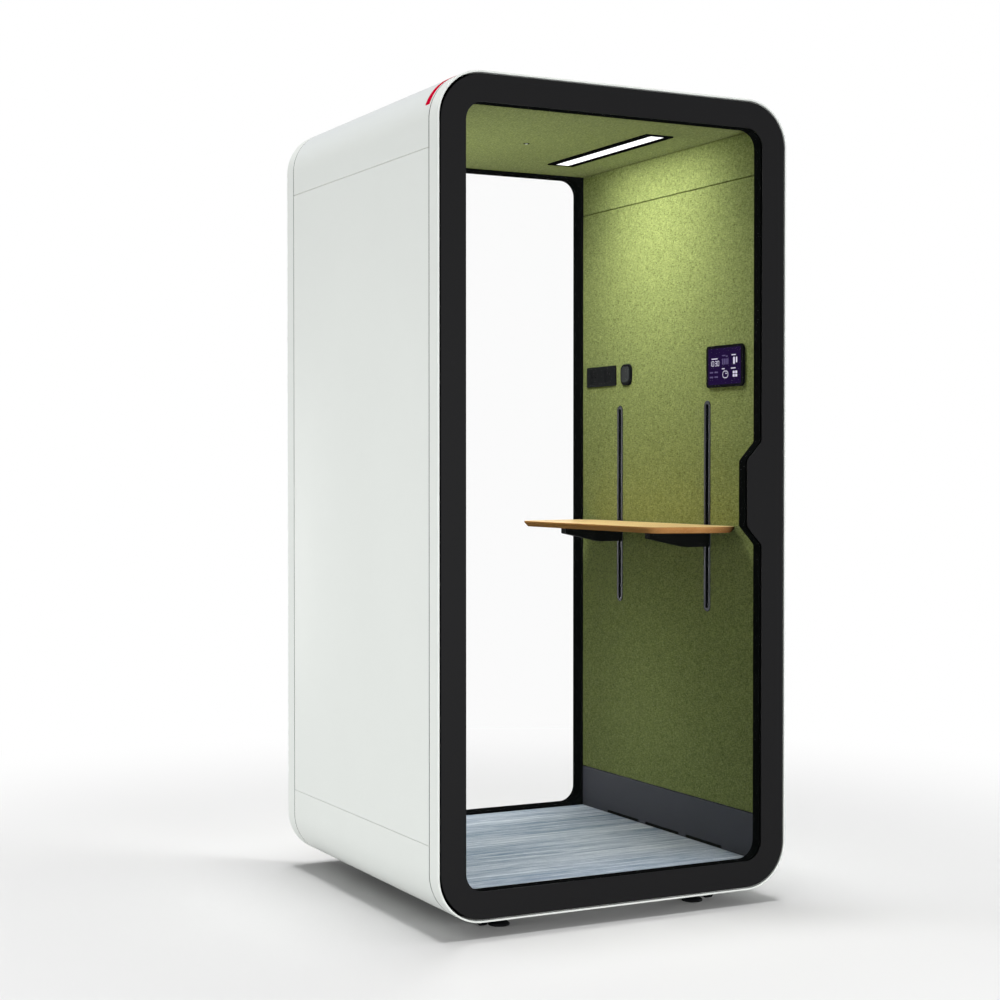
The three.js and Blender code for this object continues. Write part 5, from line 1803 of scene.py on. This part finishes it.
@dataclass
class TouchScreen(Assembly):
    """Black glass with a display of plain generic signs, read by someone who faces the wall.

    Places on the display are measured from the upper left corner of the glass. A bar is given by
    its middle and its size.
    """

    size: Point = (194.0, 124.0)
    radius: float = 11.0
    glass: Span = (472.0, 476.0)
    display: Corner = (170.0, 108.0, 4.0)
    proud: float = 0.06
    bar_round: float = 0.35
    numeral: Point = (8.4, 14.0)
    stroke: float = 1.8
    pitch: float = 12.4
    clock: Point = (24.0, 53.0)
    clock_gap: float = 3.0
    dots: float = 1.62
    bright: tuple[Box, ...] = (
        (45.0, 39.0, 32.0, 3.0), (145.0, 31.0, 22.0, 3.0), (143.0, 70.0, 24.0, 3.0),
        (91.0, 70.0, 15.0, 3.0), (147.0, 48.0, 9.0, 21.0), (160.0, 46.0, 7.0, 17.0),
        (106.0, 84.0, 9.0, 2.6),
    )
    faint: tuple[Box, ...] = (
        (94.0, 31.0, 18.0, 3.0), (110.0, 34.0, 7.0, 5.0),
        (29.0, 79.0, 18.0, 4.5), (29.0, 93.0, 18.0, 4.5),
        (54.0, 79.0, 18.0, 4.5), (54.0, 93.0, 18.0, 4.5),
        (88.0, 49.0, 6.0, 18.0), (97.0, 49.0, 6.0, 18.0),
        (106.0, 49.0, 6.0, 18.0), (115.0, 49.0, 6.0, 18.0),
    )
    dial: Point = (102.0, 87.0)
    dial_size: Corner = (30.0, 22.0, 11.0)
    dial_band: float = 2.3
    fan: Point = (152.0, 87.0)
    fan_reach: Point = (9.0, 7.0)
    fan_blade: Point = (10.5, 8.0)

    def build(self) -> None:
        """Build the glass, the housing and what the display shows."""
        y, z = self.plan.screen_y, self.plan.unit_z
        outline = rounded(y, z, *self.size, self.radius)
        glass = Form().plate(
            Axis.X, outline, self.glass, near=SOFT, far=round_edge(0.4, steps=1))
        self.shop.stand_in(glass, "screen_glass", SCREEN_BLACK)
        self.shop.softened("screen_housing", BLACK_PLASTIC, 0.8)
        display, marks, faint = Form(), Form(), Form()
        self._lay(display, rounded(y, z, *self.display), 1)
        self._clock(marks)
        self._bars(marks, self.bright)
        self._bars(faint, self.faint)
        ring = rounded(*self._spot(*self.dial), *self.dial_size)
        self._lay(marks, ring, 2, [drawn_in(ring, self.dial_band)])
        for turn in range(4):
            angle = math.radians(45 + 90 * turn)
            u = self.fan[0] + self.fan_reach[0] * math.cos(angle)
            v = self.fan[1] + self.fan_reach[1] * math.sin(angle)
            self._bars(marks, [(u, v, *self.fan_blade)])
        self.shop.detail(display, "screen_display", "pod", SCREEN_PURPLE)
        self.shop.detail(marks, "screen_marks", "pod", SCREEN_MARK)
        self.shop.detail(faint, "screen_faint_marks", "pod", SCREEN_TILE)

    def _lay(
        self, form: Form, outline: Outline, layer: int, holes: Iterable[Outline] = ()
    ) -> None:
        """Lay a thin shape on the glass, in its first or its second layer."""
        face = self.glass[0] - layer * self.proud
        form.plate(Axis.X, outline, (face, face + self.proud), holes)

    def _spot(self, u: float, v: float) -> Point:
        """Place on the wall of a point of the display."""
        y, z = self.plan.screen_y, self.plan.unit_z
        return (y + self.size[0] / 2 - u, z + self.size[1] / 2 - v)

    def _bars(self, form: Form, bars: Iterable[Box]) -> None:
        """Lay small bars with rounded ends.

        Args:
            form: Form that takes them.
            bars: Middle and size of each.
        """
        for u, v, width, height in bars:
            turn = min(width, height) * self.bar_round
            self._lay(form, rounded(*self._spot(u, v), width, height, turn), 2)

    def _clock(self, form: Form) -> None:
        """Lay four barred numerals with two dots between them.

        Args:
            form: Form that takes them.
        """
        lit = {"0": "abcdef", "1": "bc", "3": "abcdg"}
        width, height = self.numeral
        thick, half, quarter, end = self.stroke, height / 2, height / 4, width / 2
        strokes = {
            "a": (0.0, -half, width, thick), "g": (0.0, 0.0, width, thick),
            "d": (0.0, half, width, thick), "f": (-end, -quarter, thick, half),
            "b": (end, -quarter, thick, half), "e": (-end, quarter, thick, half),
            "c": (end, quarter, thick, half),
        }
        left, line = self.clock
        for index, numeral in enumerate("1030"):
            shift = left + index * self.pitch + (self.clock_gap if index > 1 else 0.0)
            parts = [strokes[key] for key in lit[numeral]]
            self._bars(form, [(shift + u, line + v, w, h) for u, v, w, h in parts])
        middle = left + self.dots * self.pitch
        self._bars(form, [(middle, line + v, thick, thick) for v in (-quarter, quarter)])


@dataclass
class OverheadUnits(Assembly):
    """Lamp, sensor, fan and grilles in the ceiling and the roof, and the power unit."""

    lamp_size: Corner = (94.0, 602.0, 1.5)
    lamp_low: float = 2221.0
    lamp_top: float = 2255.0
    diffuser: Point = (48.0, 578.0)
    diffuser_top: float = 2229.0
    diffuser_recess: float = 1.2
    sensor_radius: float = 10.0
    sensor_lens: float = 5.0
    sensor_drop: float = 3.0
    sensor_stem: Point = (6.0, 10.0)
    fan_low: float = 2241.6
    fan_bore: Point = (3.3, 16.3)
    hub: float = 20.0
    hub_height: float = 18.0
    blades: int = 7
    blade_tip: float = 54.0
    blade_steps: int = 8
    blade_tilt: Span = (46.0, 28.0)
    blade_chord: Span = (11.0, 14.0)
    blade_flat: float = 0.62
    blade_section: tuple[Point, ...] = (
        (-1.0, -0.5), (0.0, -0.8), (1.0, -0.4), (1.0, 0.4), (0.0, 0.8), (-1.0, 0.5),
    )
    vent_window: float = 124.0
    vent_corner: float = 4.0
    slats: int = 10
    slat: float = 7.0
    slat_over: float = 0.5
    slat_gap: float = 0.4
    ceiling_vent: Span = (2221.0, 2224.7)
    roof_vent: Span = (2298.0, 2300.0)

    def build(self) -> None:
        """Build the units."""
        self._lamp()
        self._sensor()
        self._vent("ceiling_vent", self.ceiling_vent, BLACK_PLASTIC)
        self._vent("roof_vent", self.roof_vent, WHITE_PAINT)
        self._rotor()
        for node in ("fan_housing", "power_unit"):
            self.shop.softened(node, BLACK_PLASTIC, 0.6)

    def _lamp(self) -> None:
        """Build the lamp's frame, the tray behind it and the diffuser."""
        x, rim, deep = self.plan.lamp_x, self.plan.ceiling - FIT, self.diffuser_top + FIT
        hole = [fitted(x, 0.0, *self.diffuser, 0.7)]
        tray = rounded(x, 0.0, *self.plan.lamp_tray, 1.0)
        outer = rounded(x, 0.0, *self.lamp_size)
        frame = Form().plate(Axis.Z, outer, (self.lamp_low, rim), hole, TRIM)
        frame.plate(Axis.Z, tray, (rim, deep), hole)
        frame.plate(Axis.Z, tray, (deep, self.lamp_top))
        # The lamp's frame takes the darker copy of the frame black: painted shade.
        self.shop.stand_in(frame, "lamp_housing", BLACK_FRAME_SHADED)
        span = (self.lamp_low + self.diffuser_recess, self.diffuser_top)
        lens = rounded(x, 0.0, *self.diffuser, 1.0)
        glow = Form().plate(Axis.Z, lens, span, near=round_edge(1.0, steps=2))
        self.shop.stand_in(glow, "lamp_diffuser", OPAL)

    def _sensor(self) -> None:
        """Build the sensor in the middle of the ceiling: a dark ring round a pale domed lens."""
        r, lens, drop = self.sensor_radius, self.sensor_lens, self.sensor_drop
        stem, rise = self.sensor_stem
        centre = (0.0, 0.0, self.plan.ceiling)
        form = Form().turned(Axis.Z, centre, [
            (lens, -drop * 0.4), (lens + 0.6, -drop * 0.55), (r - 2.0, -drop * 0.55),
            (r - 0.4, -drop * 0.3), (r, -FIT), (stem, -FIT), (stem, rise), (0.0, rise)])
        form.turned(Axis.Z, centre, [
            (0.0, -drop), (lens * 0.35, -drop * 0.96), (lens * 0.65, -drop * 0.82),
            (lens * 0.88, -drop * 0.6), (lens - 0.1, -drop * 0.38)], count=32, slot=1)
        self.shop.stand_in(form, "motion_sensor", BLACK_PLASTIC, SENSOR_OPAL)

    def _vent(self, node: str, span: Span, finish: Finish) -> None:
        """Build a grille: a square frame with a row of slats across its window.

        Args:
            node: Node that it stands for.
            span: Lower and upper face.
            finish: Finish of the grille.
        """
        (x, y), wide = self.plan.fan, self.vent_window
        window = rounded(x, y, wide, wide, self.vent_corner)
        form = Form().plate(Axis.Z, rounded(x, y, *self.plan.vent), span, [window], FINE, FINE)
        half, thick = wide / 2 + self.slat_over, span[1] - span[0] - self.slat_gap
        blade = rounded(0.0, 0.0, self.slat, thick, thick * 0.3)
        slat = Form().plate(Axis.X, blade, (-half, half)).finished("vent_slat")
        middle = (x, y, (span[0] + span[1]) / 2)
        form.add(self.shop.in_row(slat, finish, self.slats, middle, wide / self.slats))
        self.shop.stand_in(form, node, finish)

    def _blade(self) -> bpy.types.Mesh:
        """Loft one twisted blade of the fan.

        Returns:
            The blade's mesh, about the fan's axis.
        """
        root, form = self.hub - 2, Form()
        (steep, shallow), (narrow, wide) = self.blade_tilt, self.blade_chord
        rings: list[list[Vector]] = []
        for step in range(self.blade_steps + 1):
            share = step / self.blade_steps
            radius = root + share * (self.blade_tip - root)
            tilt = math.radians(steep + (shallow - steep) * share)
            chord = narrow + (wide - narrow) * share
            sine, cosine = math.sin(tilt), math.cos(tilt)
            rings.append([
                Vector((
                    radius, chord * c * cosine - t * sine,
                    chord * c * sine * self.blade_flat + t * cosine,
                )) * MM
                for c, t in self.blade_section
            ])
        made = form.join(rings)
        form.cap([made[0]])
        form.cap([made[-1]])
        return form.finished("fan_blade")

    def _rotor(self) -> None:
        """Build the fan's hub and set the blades round it."""
        r, height, (bore, depth) = self.hub, self.hub_height, self.fan_bore
        form = Form().turned(Axis.Z, (*self.plan.fan, self.fan_low), [
            (bore, depth), (bore, 0.0), (r - 1, 0.0), (r, 1.0),
            (r, height - 2), (r - 2, height), (0.0, height)])
        centre = (*self.plan.fan, self.fan_low + height / 2)
        form.add(self.shop.in_ring(self._blade(), BLACK_PLASTIC, self.blades, centre))
        self.shop.stand_in(form, "fan_rotor", BLACK_PLASTIC)


@dataclass
class Underside(Assembly):
    """Welded base with its levelling feet and transport rollers."""

    foot_radius: float = 30.0
    stem: float = 8.0
    stem_top: float = 84.0
    ribs: int = 24
    rib: Corner = (2.8, 3.0, 0.8)
    rib_inset: float = 1.4
    rib_span: Span = (0.8, 4.4)
    roller_radius: float = 22.0
    roller_half: float = 10.0
    roller_z: float = 25.0
    bore: float = 4.3
    dish: float = 1.5

    def build(self) -> None:
        """Build the base frame, the feet and the rollers."""
        p = self.plan
        self.shop.softened("base_frame", STEEL, 1.0)
        for end, y in (("front", -1), ("rear", 1)):
            for side, x in SIDES:
                self._foot(f"levelling_foot_{end}_{side}", (x * p.foot[0], y * p.foot[1], 0.0))
                hub = (x * p.roller[0], y * p.roller[1], self.roller_z)
                self._roller(f"roller_{end}_{side}", hub)

    def _foot(self, node: str, centre: Corner) -> None:
        """Build one foot: a ribbed pad on a stem.

        Args:
            node: Node that it stands for.
            centre: Middle of the pad on the floor.
        """
        r, s, top, edge = self.foot_radius, self.stem, self.stem_top, round_edge(0.4, steps=1)
        form = Form().turned(Axis.Z, centre, [
            (0.0, 0.0), (r - 2, 0.0), (r - 0.6, 0.6), (r - 0.6, 4.2), (r - 2.2, 6.6),
            (r - 6, 8.6), (s + 6, 9.0), (s + 2, 11.5), (s, 14.0), (s, top - 1), (s - 1, top),
            (0.0, top)])
        outline = rounded(r - self.rib_inset, 0.0, *self.rib)
        rib = Form().plate(Axis.Z, outline, self.rib_span, near=edge, far=edge)
        form.add(self.shop.in_ring(rib.finished("foot_rib"), BLACK_PLASTIC, self.ribs, centre))
        self.shop.stand_in(form, node, BLACK_PLASTIC)

    def _roller(self, node: str, centre: Corner) -> None:
        """Build one roller with a crowned tread and dished sides.

        Args:
            node: Node that it stands for.
            centre: Middle of the roller.
        """
        r, h, b, deep = self.roller_radius, self.roller_half, self.bore, self.dish
        half = [
            (r - 0.4, h - 1.6), (r - 2, h), (r - 5, h), (r - 6, h - deep), (b + 5, h - deep),
            (b + 4, h), (b, h),
        ]
        profile = [(radius, -w) for radius, w in reversed(half)] + [(r, 0.0)] + half
        form = Form().turned(Axis.X, centre, profile, count=40, closed=True)
        self.shop.stand_in(form, node, BLACK_PLASTIC)


@dataclass(frozen=True)
class Lamp:
    """Soft lamp that doesn't show, placed in metres."""

    name: str
    at: Corner
    towards: Corner
    size: Point
    power: float
    spread: float = 180.0

    def hang(self) -> None:
        """Hang the lamp and point it."""
        data = bpy.data.lights.new(self.name, "AREA")
        data.shape = "RECTANGLE"
        data.size, data.size_y = self.size
        data.energy, data.spread = self.power, math.radians(self.spread)
        lamp, at = linked(self.name, data), Vector(self.at)
        lamp.location = at
        lamp.rotation_euler = (Vector(self.towards) - at).to_track_quat("-Z", "Y").to_euler()
        lamp.visible_camera = False


@dataclass
class Studio:
    """Pale floor, white surroundings, soft lamps and the camera."""

    camera_at: Corner = (-2649.45, -4977.03, 1247.12)
    camera_pitch: float = 0.94196
    camera_yaw: float = 27.2207
    lens: float = 67.41
    sensor: float = 36.0
    far: float = 200.0
    horizon: float = 0.06
    zenith: float = 0.3
    sun: float = 2.3
    sun_angle: float = 20.0
    floor_size: float = 60.0
    floor_tone: float = 0.7
    floor_bounce: float = 0.26
    floor_fade: Span = (0.9, 3.4)
    lamps: tuple[Lamp, ...] = (
        Lamp("softbox_left", (-6.0, 0.0, 0.35), (0.0, 0.0, 1.1), (2.4, 0.6), 204.0),
        Lamp("softbox_right", (6.0, 0.0, 0.35), (0.0, 0.0, 1.1), (2.4, 0.6), 204.0),
        Lamp("softbox_front", (0.0, -6.5, 0.8), (0.0, 0.0, 1.1), (1.6, 1.6), 275.0),
        Lamp("softbox_rear", (0.0, 6.5, 0.8), (0.0, 0.0, 1.1), (1.6, 1.6), 110.0),
        Lamp("ceiling_lamp", (0.283, 0.0, 2.213), (0.453, 0.0, 1.213), (0.57, 0.03), 3.1),
        Lamp("cabin_fill", (0.0, 0.06, 2.2), (0.0, 0.06, 1.2), (0.3, 0.3), 7.5, 150.0),
        Lamp("carpet_pool", (-0.28, 0.3, 2.2), (-0.28, 0.3, 1.2), (0.3, 0.3), 1.4, 70.0),
        Lamp("ceiling_rise", (-0.32, 0.05, 0.13), (-0.32, 0.05, 1.13), (0.3, 0.3), 0.8, 38.0),
        Lamp("wall_bounce", (-0.44, 0.12, 0.52), (0.56, 0.12, 0.52), (0.3, 0.3), 0.15, 60.0),
    )

    def build(self) -> None:
        """Set the stage."""
        bpy.context.scene.view_settings.view_transform = "Standard"
        self._world()
        self._floor()
        for lamp in self.lamps:
            lamp.hang()
        sun = bpy.data.lights.new("overhead", "SUN")
        sun.energy, sun.angle = self.sun, math.radians(self.sun_angle)
        linked("overhead", sun)
        self._camera()

    def _seen(self, mixer: Mixer) -> Socket:
        """Tell what the camera sees from other light.

        Args:
            mixer: Node tree that asks.

        Returns:
            1 where the camera looks, straight or by way of gloss and glass, and 0 elsewhere.
        """
        camera, gloss, glass = (
            mixer.node("ShaderNodeLightPath", output=f"Is {kind} Ray")
            for kind in ("Camera", "Glossy", "Transmission"))
        return (camera + gloss + glass).clamped()

    def _world(self) -> None:
        """Make surroundings that look white and light softly from all sides."""
        world = bpy.data.worlds.new("studio")
        world.use_nodes = True
        bpy.context.scene.world = world
        mixer = Mixer(world.node_tree)
        way = mixer.node("ShaderNodeTexCoord", output="Generated")
        rise = mixer.node("ShaderNodeSeparateXYZ", {}, {0: way}, "Z").clamped()
        soft = self.horizon + rise * (self.zenith - self.horizon)
        strength = soft + self._seen(mixer) * (1.0 - soft)
        light = mixer.node("ShaderNodeBackground", {}, {"Color": WHITE, "Strength": strength})
        mixer.node("ShaderNodeOutputWorld", {}, {"Surface": light})

    def _floor(self) -> None:
        """Lay the floor, which keeps the shadow and fades into the white far off."""
        half = self.floor_size / 2
        working = bmesh.new()
        corners = [(-half, -half, 0), (half, -half, 0), (half, half, 0), (-half, half, 0)]
        working.faces.new([working.verts.new(corner) for corner in corners])
        floor = linked("studio_floor", crisp(working, "studio_floor"))
        material = bpy.data.materials.new("studio_floor")
        material.use_nodes = True
        mixer, (start, end) = Mixer(material.node_tree), self.floor_fade
        reach = mixer.node(
            "ShaderNodeVectorMath", {"operation": "LENGTH"}, {0: mixer.place()}, "Value")
        smooth = {"interpolation_type": "SMOOTHSTEP"}
        fade = mixer.node("ShaderNodeMapRange", smooth, {0: reach, 1: start, 2: end})
        seen = self._seen(mixer)
        shown, bounced = ((tone, tone, tone, 1.0) for tone in (self.floor_tone, self.floor_bounce))
        tone = mixer.blend(seen, bounced, shown)
        paper = mixer.principled({"Base Color": tone, "Roughness": 0.9, "Specular IOR Level": 0.0})
        white = mixer.node("ShaderNodeEmission", {}, {"Color": WHITE, "Strength": 1.0})
        mixed = mixer.node("ShaderNodeMixShader", {}, {0: fade * seen, 1: paper, 2: white})
        mixer.node("ShaderNodeOutputMaterial", {}, {"Surface": mixed})
        floor.data.materials.append(material)

    def _camera(self) -> None:
        """Place the camera where the photograph was taken from."""
        data = bpy.data.cameras.new("photo_camera")
        data.sensor_fit = "HORIZONTAL"
        data.sensor_width, data.lens, data.clip_end = self.sensor, self.lens, self.far
        camera = linked("photo_camera", data)
        camera.location = Vector(self.camera_at) * MM
        pitch, yaw = math.radians(90 - self.camera_pitch), math.radians(-self.camera_yaw)
        camera.rotation_euler = (pitch, 0.0, yaw)
        bpy.context.scene.camera = camera


def main() -> None:
    """Load the frame, dress every sub-assembly and set the stage."""
    logging.basicConfig(level=logging.INFO, format="%(name)s %(message)s")
    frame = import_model()
    shop, plan = Workshop(frame), Plan()
    for kind in (
        Shell, Door, RearWindow, Lining, Desk, WallUnits, TouchScreen, OverheadUnits, Underside,
    ):
        LOG.info("building %s", kind.__name__)
        kind(shop, plan).build()
    Studio().build()


if __name__ == "__main__":
    main()
